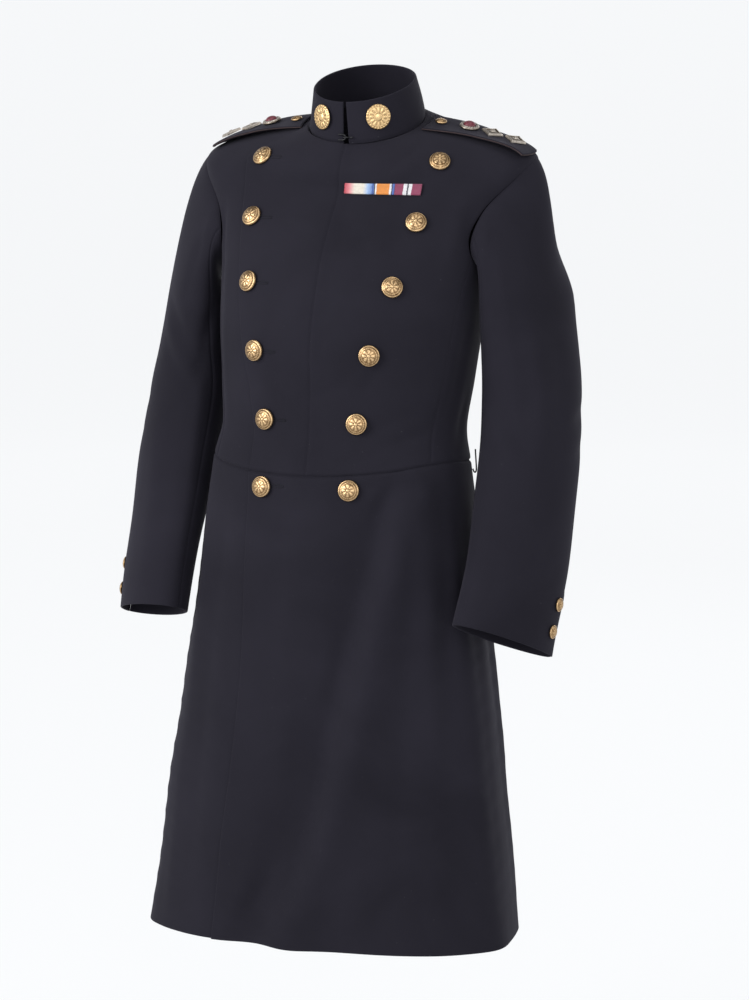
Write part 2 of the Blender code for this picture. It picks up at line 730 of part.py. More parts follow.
def seat(item, point, normal, up=UPWARDS):
    """Places a piece with its local Z along the normal and its local Y near up."""
    z_axis = normal.normalized()
    x_axis = up.cross(z_axis).normalized()
    y_axis = z_axis.cross(x_axis)
    turn = Matrix((x_axis, y_axis, z_axis)).transposed()
    item.matrix_world = Matrix.Translation(point) @ turn.to_4x4()


def button(name, radius, point, normal, finish, steps):
    """Domed metal button on a short shank that stands just off the cloth."""
    item = turned(name, [(out * radius, up * radius) for out, up in BUTTON_PROFILE], finish, steps)
    seat(item, point + normal * SEAM_GAP, normal)
    return item


def front_buttons(finish):
    for pair in BUTTON_PAIRS:
        surface = body_point if pair.z > BODY_RINGS[0].z_side else skirt_point
        for word, sign, lift in (("left", 1, 0.0), ("right", -1, LAP_STEP)):
            out = pair.x + sign * pair.off_left
            angle, level = find(surface, (out, pair.z), (0, 2), BUTTONS_NEAR_ANGLE, pair.near_level)
            normal = outward(surface, sign * angle, level)
            point = surface(sign * angle, level) + normal * (lift - pair.sunk)
            button(f"button_{word}_{pair.name}", BUTTON_RADIUS, point, normal, finish, BUTTON_STEPS)


def cuff_buttons(finish):
    last = len(SLEEVE_SECTIONS) - 1
    for word, side in (("left", 1), ("right", -1)):
        for count, up in enumerate(CUFF_BUTTONS_UP, 1):
            length = (sleeve_axis(last, side) - sleeve_axis(last - 1, side)).length
            travel = last - up / length
            degrees = HIND_SEAM - CUFF_BUTTON_OFF_SEAM
            normal = sleeve_outward(degrees, travel, side)
            point = sleeve_point(degrees, travel, side)
            button(f"cuff_button_{word}_{count}", CUFF_BUTTON_RADIUS, point, normal, finish, SMALL_BUTTON_STEPS)


def strap_place(along, across, side):
    """Angle and level under a shoulder strap: along runs 0 to 1 inwards, across -1 front to 1 back."""
    outer_level = STRAP_LIES[side].outer_level
    level = outer_level + (STRAP_INNER_LEVEL - outer_level) * along
    half = STRAP_OUTER_HALF_WIDTH + (STRAP_INNER_HALF_WIDTH - STRAP_OUTER_HALF_WIDTH) * along
    depth = through([ring.front_depth if across < 0 else ring.back_depth for ring in BODY_RINGS], level)
    return (math.pi / 2 + math.asin(across * half / depth)) * side, level


def strap_point(along, across, side):
    """Point on top of a shoulder strap, which is stiff: its front edge stands off the shoulder at its outer end."""
    angle, level = strap_place(along, across, side)
    lie = STRAP_LIES[side]
    arch = lie.arch * 4 * along * (1 - along)
    stands = lie.front_stands * (1 - along) * min(0.0, across) ** 2
    lift = STRAP_GAP + STRAP_THICK + arch + stands
    return body_point(angle, level) + outward(body_point, angle, level) * lift


def strap_outward(along, across, side):
    along_way = strap_point(along + DELTA, across, side) - strap_point(along - DELTA, across, side)
    across_way = strap_point(along, across + DELTA, side) - strap_point(along, across - DELTA, side)
    normal = along_way.cross(across_way).normalized()
    return normal if normal.z > 0 else -normal


def shoulder_straps(finish):
    for word, side in (("left", 1), ("right", -1)):
        places = [
            [(i / STRAP_ROWS, 2 * j / STRAP_COLUMNS - 1) for j in range(STRAP_COLUMNS + 1)]
            for i in range(STRAP_ROWS + 1)
        ]
        outer = [[strap_point(along, across, side) for along, across in row] for row in places]
        inner = [
            [p - strap_outward(*place, side) * STRAP_THICK for p, place in zip(points, row)]
            for points, row in zip(outer, places)
        ]
        wall(f"shoulder_strap_{word}", outer, inner, finish)


def strap_seat(x, side):
    """Point and normal on top of a shoulder strap's middle line, x away from the middle."""
    low = 0.0
    high = 1.0
    for _ in range(HALVINGS):
        along = (low + high) / 2
        if abs(strap_point(along, 0.0, side).x) > x:
            low = along
        else:
            high = along
    return strap_point(along, 0.0, side), strap_outward(along, 0.0, side)


def strap_fittings(gilt, tarnished, crimson):
    """On each strap a small button, a boss with a crimson dome, and two plain lozenges."""
    for word, side in (("left", 1), ("right", -1)):
        point, normal = strap_seat(STRAP_BUTTON_X, side)
        point += normal * (ORNAMENT_GAP - SEAM_GAP)
        button(f"strap_button_{word}", STRAP_BUTTON_RADIUS, point, normal, gilt, SMALL_BUTTON_STEPS)
        point, normal = strap_seat(ORNAMENT_X[0], side)
        item = turned(f"strap_boss_{word}", BOSS_PROFILE, tarnished, BUTTON_STEPS)
        seat(item, point + normal * ORNAMENT_GAP, normal, TOWARDS_BACK)
        item = turned(f"strap_dome_{word}", DOME_PROFILE, crimson, BUTTON_STEPS)
        seat(item, point + normal * (BOSS_SEAT_HEIGHT + ORNAMENT_GAP + SEAM_GAP), normal, TOWARDS_BACK)
        for count, x in enumerate(ORNAMENT_X[1:], 1):
            point, normal = strap_seat(x, side)
            mesh = bmesh.new()
            bmesh.ops.create_cone(
                mesh, cap_ends=True, segments=4, radius1=LOZENGE_RADIUS, radius2=LOZENGE_RADIUS * LOZENGE_TOP_SHARE,
                depth=LOZENGE_HEIGHT,
            )
            data = bpy.data.meshes.new(f"strap_lozenge_{word}_{count}")
            mesh.to_mesh(data)
            mesh.free()
            item = add_object(data.name, data, tarnished)
            seat(item, point + normal * (LOZENGE_HEIGHT / 2 + ORNAMENT_GAP), normal, TOWARDS_BACK)


def ribbons(finish):
    """Three lengths of ribbon side by side on the left forepart."""
    for count, (start, end) in enumerate(zip(RIBBON_ENDS_X, RIBBON_ENDS_X[1:]), 1):
        grid = []
        for z in (RIBBON_Z + RIBBON_HEIGHT / 2, RIBBON_Z - RIBBON_HEIGHT / 2):
            grid.append([find(body_point, (x, z), (0, 2), *RIBBON_NEAR) for x in spread(start, end, RIBBON_COLUMNS)])
        lift = LAYER_GAP + RIBBON_THICK
        panel(
            f"ribbon_{count}", body_point, grid, finish,
            lambda angle: lift + left_layer(angle), RIBBON_THICK,
        )


def badges(finish):
    """Round rosette plates, one on each side of the collar's front."""
    profile = [(out * BADGE_RADIUS, up * BADGE_HEIGHT) for out, up in BADGE_PROFILE]
    for word, side in (("left", 1), ("right", -1)):
        item = turned(f"collar_badge_{word}", profile, finish, BADGE_STEPS)
        angle = BADGE_ANGLES[side] * side
        normal = outward(collar_point, angle, BADGE_LEVEL)
        seat(item, collar_point(angle, BADGE_LEVEL) + normal * SEAM_GAP, normal)


def wire(name, points, finish):
    """Bent wire with closed ends."""
    curve = bpy.data.curves.new(name, "CURVE")
    curve.dimensions = "3D"
    curve.bevel_depth = WIRE
    curve.bevel_resolution = WIRE_FACETS
    curve.use_fill_caps = True
    spline = curve.splines.new("POLY")
    spline.points.add(len(points) - 1)
    for spot, point in zip(spline.points, points):
        spot.co = (*point, 1.0)
    return add_object(name, curve, finish)


def collar_fastener(finish):
    """Hook and eye across the collar's opening: the eye's loop on the right end, the hook's bar over it."""
    middle = collar_point(0.0, FASTENER_LEVEL)
    front = middle.y - WIRE - SEAM_GAP
    top = middle.z + FASTENER_HALF_HEIGHT
    low = middle.z - FASTENER_HALF_HEIGHT
    eye = [
        (-FASTENER_REACH, top),
        (EYE_BEND, top),
        (EYE_TIP, middle.z),
        (EYE_BEND, low),
        (-FASTENER_REACH, low),
    ]
    wire("collar_eye", [Vector((x, front, z)) for x, z in eye], finish)
    over = front - 2 * WIRE - SEAM_GAP
    hook = [(HOOK_TIP, over), (HOOK_BEND, over), (HOOK_FOOT, front), (HOOK_REACH, front)]
    wire("collar_hook", [Vector((x, y, middle.z)) for x, y in hook], finish)


def belt_hook(finish):
    """Hook that holds up a belt, out of the waist seam at the left side and turned up."""
    root = body_point(HOOK_ANGLE, WAIST_SEAM)
    normal = wall_normal(body_point, HOOK_ANGLE, WAIST_SEAM)
    points = [Vector((root.x, root.y, height)) + normal * (off + WIRE) for off, height in HOOK_POINTS]
    wire("belt_hook", points, finish)


def build():
    navy = material("navy wool", NAVY, 0.85, 0.0)
    gilt = material("gilt", GILT, 0.35, 1.0)
    tarnished = material("tarnished gilt", TARNISHED, 0.45, 1.0)
    crimson = material("crimson enamel", CRIMSON, 0.4, 0.0)
    black = material("blackened wire", BLACK, 0.4, 1.0)
    ribbon = material("ribbon", RIBBON_COLOUR, 0.7, 0.0)
    foreparts_and_lapels(navy)
    side_bodies(navy)
    backs(navy)
    skirts(navy)
    collar(navy)
    sleeves(navy)
    shoulder_straps(navy)
    front_buttons(gilt)
    cuff_buttons(gilt)
    strap_fittings(gilt, tarnished, crimson)
    ribbons(ribbon)
    badges(gilt)
    collar_fastener(black)
    belt_hook(black)


clear_scene()
COLLECTION = bpy.data.collections.new(OBJECT_NAME)
bpy.context.scene.collection.children.link(COLLECTION)
build()
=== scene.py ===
"""Dresses the knee-length double-breasted frock coat over its fixed frame.

Sizes are in metres. +X is the wearer's left, -Y the front and +Z up. Every panel of cloth is a thin shell on
the form of its solid, with its creases, seams and rounded edges. Buttons and collar badges carry a plain
rosette, and the strap ornaments are a roped boss and plain lozenges.
"""
import math
from collections import namedtuple

import bpy
import numpy as np
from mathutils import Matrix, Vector


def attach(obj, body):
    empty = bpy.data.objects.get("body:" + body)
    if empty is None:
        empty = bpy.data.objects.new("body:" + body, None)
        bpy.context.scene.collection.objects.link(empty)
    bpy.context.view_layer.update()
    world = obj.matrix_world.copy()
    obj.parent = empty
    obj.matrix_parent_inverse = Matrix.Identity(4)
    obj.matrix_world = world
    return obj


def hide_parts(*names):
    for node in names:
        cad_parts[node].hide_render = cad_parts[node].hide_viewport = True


SIDES = (("left", 1), ("right", -1))

# Cloth, as in the fixed frame.
CLOTH = 0.0025
SEAM_GAP = 0.0003
SEWN_OVERLAP = 0.00005
LAYER_GAP = 0.001
LAP_STEP = CLOTH + LAYER_GAP
LAP_BLEND = math.radians(7.0)
DELTA = 1e-4
FIND_STEPS = 20
EDGE_HALVINGS = 40
STRAP_HALVINGS = 30

# Rings: half width, y of the sides, front depth, back depth, height at front, side and back, squareness.
BODY_RINGS = np.array([
    (0.153, -0.083, 0.112, 0.100, -0.396, -0.393, -0.392, 2.2),
    (0.146, -0.076, 0.107, 0.096, -0.352, -0.352, -0.352, 2.2),
    (0.149, -0.062, 0.117, 0.100, -0.300, -0.300, -0.300, 2.3),
    (0.153, -0.052, 0.127, 0.112, -0.250, -0.248, -0.248, 2.3),
    (0.156, -0.042, 0.124, 0.118, -0.200, -0.195, -0.195, 2.3),
    (0.163, -0.029, 0.118, 0.115, -0.158, -0.148, -0.150, 2.3),
    (0.181, -0.010, 0.109, 0.103, -0.120, -0.098, -0.106, 2.2),
    (0.202, 0.010, 0.103, 0.085, -0.088, -0.048, -0.065, 2.1),
    (0.140, 0.008, 0.097, 0.075, -0.059, -0.0235, -0.020, 2.1),
    (0.0675, 0.000, 0.070, 0.066, -0.031, -0.009, 0.013, 2.0),
])
SHOULDER_TIP = 7.0
NECK_SEAM = 9.0
# The waist seam rises away from the middle front, more on the wearer's left, and falls back behind the sides.
WAIST_BOW = 0.0125
WAIST_LEAN = 0.0050
WAIST_RISE_LEVELS = 2.0
WAIST_FALLS_FROM = math.radians(125.0)
WAIST_FALLS_OVER = math.radians(85.0)
SKIRT_RINGS = np.array([
    (0.153, -0.083, 0.112, 0.100, -0.396, -0.393, -0.392, 2.2),
    (0.160, -0.085, 0.118, 0.108, -0.452, -0.452, -0.452, 2.2),
    (0.179, -0.088, 0.127, 0.122, -0.595, -0.600, -0.600, 2.2),
    (0.202, -0.104, 0.127, 0.136, -0.768, -0.780, -0.780, 2.2),
    (0.223, -0.120, 0.124, 0.150, -0.938, -0.952, -0.952, 2.2),
])
HEM = 4.0
HEM_HIGHER_AT_LEFT = 0.009
COLLAR_RINGS = np.array([
    (0.0675, 0.000, 0.070, 0.066, -0.0303, -0.0083, 0.0137, 2.0),
    (0.0635, -0.003, 0.069, 0.063, -0.007, 0.014, 0.035, 2.0),
    (0.0590, -0.008, 0.066, 0.059, 0.016, 0.0375, 0.056, 2.0),
])
COLLAR_TOP = 2.0
COLLAR_TUCK = 0.003
COLLAR_OPENINGS = (math.radians(2.7), math.radians(1.6))

ARMHOLE_ANGLE = math.radians(90.0)
ARMHOLE_HALF_ANGLE = math.radians(29.0)
ARMHOLE_BOTTOM = 4.5
ARMHOLE_MIDDLE = (ARMHOLE_BOTTOM + SHOULDER_TIP) / 2
ARMHOLE_HALF_LEVEL = (SHOULDER_TIP - ARMHOLE_BOTTOM) / 2
SIDE_SEAM_AT_ARMHOLE = -45.0
BACK_SEAM_AT_ARMHOLE = 225.0
SIDE_SEAM_AT_WAIST = math.radians(57.0)
BACK_SEAM_AT_WAIST = math.radians(146.0)
HIP_SEAM = math.radians(146.0)
VENT_HALF_ANGLE = math.radians(0.03)

# The lapel's width from the middle front by level, and the skirt's lap from the waist down.
LAPEL_LEVELS = (0.0, 1.0, 2.0, 3.0, 4.0, 5.0, 6.0, 7.0, 7.7, 9.0)
LAPEL_WIDTHS = (0.071, 0.071, 0.078, 0.089, 0.100, 0.107, 0.116, 0.122, 0.125, 0.065)
LAPEL_BELOW_COLLAR = 0.02
LAPEL_LAST_STEP = 0.004
SAME_LEVEL = 1e-6
SKIRT_LAP_WIDTHS = (0.0725, 0.069, 0.0745, 0.089, 0.106)

FOLD_TOP = math.radians(44.0)
FOLD_BOTTOM = math.radians(-14.0)
FOLD_DEPTH = 0.007
FOLD_HALF_ANGLE = math.radians(9.0)
RIDGE_OFF_TROUGH = 1.6
FOLD_GROWTH = 3
SIDE_FOLD_GROWTH = 1.3
SIDE_FOLD_DEPTH = 0.005
SIDE_FOLD_HALF_ANGLE = math.radians(12.0)
SIDE_FOLDS = tuple(math.radians(a) for a in (75.0, 112.0, 205.0, 248.0, 291.0))

# Sleeve sections of the wearer's left: x, y, z, long and short half axis, turn in degrees.
SLEEVE_SECTIONS = np.array([
    (0.207, -0.029, -0.215, 0.067, 0.034, 30.0),
    (0.2105, -0.033, -0.268, 0.0645, 0.0405, 32.0),
    (0.2135, -0.040, -0.325, 0.0615, 0.049, 35.0),
    (0.219, -0.072, -0.410, 0.062, 0.046, 38.0),
    (0.222, -0.106, -0.495, 0.062, 0.040, 41.0),
    (0.219, -0.140, -0.585, 0.062, 0.036, 43.0),
])
# How far each sleeve swings to the wearer's left at each section.
SLEEVE_SWINGS = {
    1: (0.0, 0.0015, 0.0030, 0.0035, 0.0010, -0.0025),
    -1: (0.0, 0.0015, 0.0030, 0.0035, 0.0035, 0.0005),
}
CUFF = 5.0
CUFF_HEMS = {1: (0.0050, 0.0060), -1: (0.0045, 0.0010)}
HEM_LIFT_POWER = 4
CAP_TURN = 0.72
CAP_TURN_POWER = 0.6
CAP_DROP = 0.5
CAP_START = 0.75
CAP_END = 1.0
CAP_ARRIVAL = 0.1
AXIS_STEP = 0.01
TRAVEL_STEP = 0.02
TURN_STEP = 2
FORE_SEAM = -15.0
HIND_SEAM = 165.0
VENT_TOP_TRAVEL = 4.22
VENT_OPENS_OVER = 0.08
VENT_LIFT = 0.0012
VENT_LAP_FROM = HIND_SEAM - 24
VENT_LAP_OVER = 20

# Front buttons: distance from the middle, how far off to the left, height, level near them, how far sunk in.
FRONT_BUTTONS = (
    (0.107, 0.0044, -0.050, 7.0, 0.0012),
    (0.099, 0.0, -0.116, 4.0, 0.0),
    (0.0856, 0.0, -0.185, 4.0, 0.0),
    (0.0675, 0.0, -0.259, 4.0, 0.0),
    (0.0544, 0.0, -0.336, 4.0, -0.0004),
    (0.0514, 0.0, -0.409, 0.3, 0.0),
)
BUTTON_RADIUS = 0.0122
CUFF_BUTTON_RADIUS = 0.0080
STRAP_BUTTON_RADIUS = 0.0068
CUFF_BUTTONS_UP = (0.026, 0.057)
CUFF_BUTTON_OFF_SEAM = 26.0
BUTTONHOLE_LENGTH = 0.026
BUTTONHOLE_HALF_WIDTH = 0.0013
BUTTONHOLE_THREAD = 0.00055
BUTTONHOLE_RAISE = 0.2
# The buttonhole's outline: points round it, how far its sides run straight, how round its ends and corners.
BUTTONHOLE_STEPS = 44
BUTTONHOLE_STRAIGHT = 1.35
BUTTONHOLE_END = 0.94
BUTTONHOLE_CORNER = 0.5
# Where the search for a front button's place starts, as an angle.
BUTTON_GUESS = 0.5

STRAP_INNER_LEVEL = 8.86
STRAP_HALF_WIDTHS = (0.030, 0.022)
STRAP_THICK = 0.003
STRAP_GAP = 0.0006
# How each strap lies: the level of its outer end, its arch, and how far its front edge stands off there.
StrapLie = namedtuple("StrapLie", "outer_level arch front_stands")
STRAP_LIES = {1: StrapLie(7.12, 0.0008, 0.0085), -1: StrapLie(7.25, 0.0040, 0.0045)}
ORNAMENT_GAP = 0.0010
STRAP_BUTTON_X = 0.090
ORNAMENT_X = (0.123, 0.150, 0.177)
BOSS_RADIUS = 0.0115
BOSS_HEIGHT = 0.004
DOME_RADIUS = 0.0072
LOZENGE_RADIUS = 0.0135
LOZENGE_HEIGHT = 0.0045
PIPING_RADIUS = 0.0006
PIPING_STEPS = 40
PIPING_DOWN = 0.5
DOME_SEAT = 0.5

RIBBON_ENDS_X = (0.0076, 0.0414, 0.0665, 0.0970)
RIBBON_Z = -0.0805
RIBBON_HEIGHT = 0.0125
RIBBON_THICK = 0.0016
# The turn of the ribbon over its bar: its height at the edges, the rest of it, and how square it is.
RIBBON_EDGE = 0.35
RIBBON_CROWN = 0.65
RIBBON_SQUARE = 6
RIBBON_COLUMNS = 26
RIBBON_ROWS = 15
RIBBON_GUESS = (0.4, 6.6)

BADGE_ANGLES = {1: math.radians(34.5), -1: math.radians(28.5)}
BADGE_LEVEL = 1.12
BADGE_RADIUS = 0.0145

WIRE = 0.0009
TUBE_SIDES = 8
PATH_STEPS = 6
# A way that no tube runs along.
TUBE_ASKEW = np.array((0.31, 0.42, 0.85))
FASTENER_LEVEL = 0.28
FASTENER_HALF_HEIGHT = 0.0030
FASTENER_REACH = 0.0085
EYE_LOOP = (-0.002, 0.0008)
HOOK_BEND = (-0.0015, 0.0030, 0.0055)
HOOK_TAIL = 0.001
HOOK_ANGLE = math.radians(106.0)
HOOK_POINTS = (
    (0.0013, -0.4010), (0.0025, -0.4040), (0.0041, -0.4050), (0.0052, -0.4030),
    (0.0053, -0.3990), (0.0049, -0.3920), (0.0044, -0.3850), (0.0040, -0.3780),
)

# Steps of the panels' grids, and the closer ones where an edge is rounded.
GRID_STEP = 0.0045
EDGE_STEPS = np.array((0.0, 0.0003, 0.0008, 0.0015, 0.0026))
EDGE_ROUND = 0.0012
SEAM_DEPTH = 0.0007
SEAM_HALF_WIDTH = 0.0018
# The lengths that the panels' grids are spaced over.
SIDE_SEAM_LENGTH = 0.24
SHOULDER_SEAM_LENGTH = 0.15
SHOULDER_SEAM_EXTRA = 0.35
ARMHOLE_STEPS = 34
FOREPART_WIDTH = 0.22
LAPEL_WIDTH = 0.11
BACK_WIDTH = 0.16
SIDE_BODY_WIDTH = 0.19
SKIRT_LENGTH = 0.56
SKIRT_WIDTH = 0.50
BACK_SKIRT_WIDTH = 0.12
COLLAR_LENGTH = 0.40
COLLAR_HEIGHT = 0.046
CAP_LENGTH = 0.12
SLEEVE_LENGTH = 0.40
SLEEVE_WIDTH = 0.16
STRAP_LENGTH = 0.13
STRAP_WIDTH = 0.055
# How much further in the even steps start than the close ones end.
MIDDLE_STARTS = 1.5
# How deep the waist seam is, and the armhole seam over the shoulder between two levels, as shares of a seam.
WAIST_SEAM_DEEP = 3.2
SHOULDER_SEAM_SOFT = 0.25
SOFT_FROM = 5.6
SOFT_BY = 6.4

# Creases laid one by one: points on the surface, depth (a trough is negative) and half width.
Crease = namedtuple("Crease", "points depth width")
BODY_CREASES = (
    Crease(((0.96, 6.20), (1.02, 5.75), (1.08, 5.30), (1.13, 4.90)), -0.0022, 0.009),
    Crease(((0.80, 6.55), (0.86, 5.95), (0.92, 5.30), (0.98, 4.60)), 0.0016, 0.010),
    Crease(((0.94, 8.60), (0.60, 8.20), (0.36, 7.90), (0.09, 7.65)), -0.0013, 0.008),
    Crease(((0.75, 8.20), (0.50, 7.75), (0.22, 7.35)), 0.0011, 0.010),
    Crease(((-0.04, 6.75), (0.16, 5.85), (0.40, 4.95)), -0.0010, 0.012),
    Crease(((0.12, 6.60), (0.33, 5.70), (0.60, 4.60)), 0.0009, 0.013),
    Crease(((0.30, 1.80), (0.42, 2.15), (0.51, 2.50), (0.57, 3.00)), -0.0014, 0.008),
    Crease(((0.20, 1.60), (0.36, 2.00), (0.44, 2.60)), 0.0010, 0.010),
    Crease(((-0.11, 1.75), (0.16, 2.00), (0.33, 2.20)), -0.0011, 0.007),
    Crease(((0.05, 1.10), (0.40, 1.15), (0.80, 1.45)), -0.0011, 0.009),
    Crease(((0.55, 0.70), (0.85, 0.95), (1.15, 1.35)), -0.0014, 0.008),
    Crease(((1.54, 1.90), (1.48, 0.90), (1.29, 0.15)), -0.0018, 0.010),
    Crease(((1.36, 3.60), (1.30, 2.40), (1.22, 1.10)), -0.0018, 0.011),
    Crease(((-0.92, 6.20), (-1.02, 5.20), (-1.03, 4.10)), -0.0026, 0.008),
    Crease(((-0.90, 4.80), (-0.88, 3.20), (-0.90, 1.20)), 0.0014, 0.009),
    Crease(((-1.08, 4.20), (-1.08, 2.60), (-1.02, 0.90)), -0.0017, 0.009),
    Crease(((-0.70, 1.10), (-0.40, 0.85), (-0.12, 0.90)), -0.0009, 0.009),
    Crease(((-1.45, 3.20), (-1.35, 1.80), (-1.15, 0.60)), -0.0018, 0.011),
    Crease(((2.10, 6.20), (2.20, 5.20), (2.35, 4.20)), -0.0022, 0.011),
    Crease(((2.25, 5.80), (2.45, 4.60), (2.65, 3.60)), 0.0012, 0.013),
    Crease(((-2.12, 6.10), (-2.24, 5.00), (-2.42, 4.00)), -0.0020, 0.012),
    Crease(((2.20, 1.30), (2.60, 1.05), (2.95, 1.10)), -0.0015, 0.009),
    Crease(((-2.15, 1.50), (-2.55, 1.15), (-2.90, 1.25)), -0.0014, 0.010),
    Crease(((2.75, 0.60), (3.10, 0.70), (3.50, 0.62)), -0.0010, 0.008),
    Crease(((3.05, 7.60), (3.14, 6.60), (3.20, 5.40)), -0.0009, 0.016),
    Crease(((2.35, 3.20), (2.55, 2.20), (2.80, 1.50)), -0.0012, 0.012),
)
SKIRT_CREASES = (
    Crease(
        ((0.70, 0.10), (0.62, 0.60), (0.52, 1.26), (0.31, 1.95), (0.18, 2.55), (0.02, 3.36), (-0.23, 3.90)),
        -0.0058, 0.013,
    ),
    Crease(
        ((0.66, 0.90), (0.60, 1.29), (0.47, 1.95), (0.33, 2.67), (0.17, 3.36), (-0.04, 3.95)), 0.0042, 0.015
    ),
    Crease(((0.82, 0.60), (0.77, 1.29), (0.70, 1.95), (0.64, 2.67), (0.58, 3.60)), -0.0024, 0.014),
    Crease(((0.92, 1.10), (0.90, 1.90), (0.86, 2.80), (0.82, 3.90)), 0.0018, 0.016),
    Crease(((1.06, 0.30), (1.08, 1.32), (1.00, 1.95), (0.98, 2.60)), -0.0034, 0.013),
    Crease(((1.17, 1.60), (1.18, 2.40), (1.22, 3.80)), 0.0026, 0.015),
    Crease(((1.34, 0.80), (1.36, 2.10), (1.40, 3.90)), -0.0030, 0.015),
    Crease(((0.10, 0.25), (0.14, 1.00), (0.08, 1.80)), 0.0010, 0.016),
    Crease(((-0.10, 0.35), (-0.16, 1.40), (-0.22, 2.30)), -0.0012, 0.016),
    Crease(((0.30, 0.22), (0.42, 0.30), (0.56, 0.26)), -0.0010, 0.007),
    Crease(((-0.05, 3.30), (-0.20, 3.62), (-0.34, 3.95)), -0.0024, 0.010),
    Crease(((-0.22, 3.20), (-0.30, 3.60), (-0.42, 3.95)), 0.0013, 0.010),
    Crease(((-0.70, 0.80), (-0.72, 2.20), (-0.70, 3.80)), -0.0018, 0.014),
    Crease(((-0.93, 1.50), (-0.94, 2.58), (-0.90, 3.98)), 0.0022, 0.014),
    Crease(((-1.14, 0.70), (-1.18, 2.20), (-1.20, 3.90)), -0.0030, 0.015),
    Crease(((-1.45, 1.20), (-1.50, 2.60), (-1.52, 3.90)), 0.0022, 0.017),
    Crease(((-1.75, 0.60), (-1.80, 2.20), (-1.82, 3.90)), -0.0036, 0.016),
    Crease(((1.72, 0.60), (1.76, 2.20), (1.80, 3.95)), -0.0034, 0.017),
    Crease(((2.10, 1.10), (2.14, 2.50), (2.16, 3.90)), 0.0024, 0.018),
    Crease(((2.40, 0.40), (2.42, 1.80), (2.46, 3.30)), -0.0030, 0.015),
    Crease(((-2.15, 1.00), (-2.18, 2.40), (-2.22, 3.90)), 0.0026, 0.018),
    Crease(((-2.44, 0.30), (-2.46, 1.90), (-2.42, 3.60)), -0.0028, 0.014),
    Crease(((2.86, 1.40), (2.88, 2.60), (2.92, 3.90)), 0.0018, 0.014),
    Crease(((-2.84, 1.00), (-2.90, 2.40), (-2.88, 3.90)), 0.0020, 0.015),
)
LEFT_SLEEVE_CREASES = (
    Crease(((46, -0.30), (50, 0.60), (54, 1.60), (60, 2.60)), -0.0016, 0.010),
    Crease(((72, 0.20), (69, 1.40), (70, 2.50), (73, 3.70)), 0.0016, 0.011),
    Crease(((96, 0.60), (94, 1.80), (98, 2.90)), -0.0014, 0.010),
    Crease(((-6, 1.90), (28, 2.35), (60, 2.70), (84, 2.85)), -0.0022, 0.009),
    Crease(((-8, 2.45), (24, 2.90), (52, 3.15)), -0.0016, 0.009),
    Crease(((-4, 2.15), (26, 2.62), (56, 2.95)), 0.0012, 0.008),
    Crease(((2, -0.55), (18, -0.30), (30, 0.25)), -0.0018, 0.009),
    Crease(((20, -0.60), (34, -0.20), (44, 0.40)), 0.0012, 0.010),
    Crease(((160, 1.90), (130, 2.20), (104, 2.30)), -0.0020, 0.009),
    Crease(((158, 2.40), (132, 2.65), (110, 2.70)), -0.0015, 0.008),
    Crease(((40, 3.60), (44, 4.20), (50, 4.80)), -0.0009, 0.011),
    Crease(((230, 1.60), (258, 2.10), (300, 2.30)), -0.0024, 0.011),
    Crease(((220, 2.30), (262, 2.70), (310, 2.90)), -0.0018, 0.010),
    Crease(((240, 0.20), (246, 1.20), (240, 2.00)), -0.0016, 0.012),
)
RIGHT_SLEEVE_CREASES = (
    Crease(((-27, -0.10), (-12, 0.60), (0, 1.30), (8, 2.00)), -0.0030, 0.009),
    Crease(((4, 1.20), (3, 2.50), (-2, 3.60), (-2, 4.70)), 0.0022, 0.008),
    Crease(((84, -0.10), (58, 0.40), (34, 0.90), (14, 1.40)), -0.0022, 0.010),
    Crease(((78, 0.60), (50, 1.00), (26, 1.50), (12, 2.00)), 0.0015, 0.009),
    Crease(((70, 1.10), (44, 1.60), (20, 2.20)), -0.0016, 0.009),
    Crease(((60, 2.40), (56, 3.40), (58, 4.50)), 0.0012, 0.012),
    Crease(((34, 2.30), (32, 3.30), (34, 4.60)), -0.0014, 0.011),
    Crease(((6, -0.60), (22, -0.35), (36, 0.10)), -0.0016, 0.009),
    Crease(((150, 1.90), (126, 2.20), (100, 2.30)), -0.0020, 0.009),
    Crease(((152, 2.45), (128, 2.70), (104, 2.75)), -0.0014, 0.008),
    Crease(((232, 1.50), (262, 2.00), (304, 2.20)), -0.0024, 0.011),
    Crease(((226, 2.20), (264, 2.60), (312, 2.80)), -0.0018, 0.010),
    Crease(((238, 0.30), (250, 1.10), (244, 1.90)), -0.0015, 0.012),
)
# A crease: steps of its line, its reach in half widths, how its ends fade and how its depth varies.
CREASE_STEPS = 8
CREASE_REACH = 3
CREASE_END = 0.04
CREASE_RUN = 0.92
CREASE_FADE = 0.7
CREASE_WANDER = 0.22
CREASE_WAVES = 9
CREASE_SHIFT = 40
# The cloth's slight general unevenness: waves per metre along x, y and z, phase and height.
UNEVEN_WAVES = (
    ((19.0, 13.0, 31.0), 0.4, 0.00045),
    ((-27.0, 17.0, 44.0), 1.7, 0.00030),
    ((41.0, -33.0, 23.0), 2.9, 0.00026),
    ((58.0, 49.0, -71.0), 4.1, 0.00012),
)

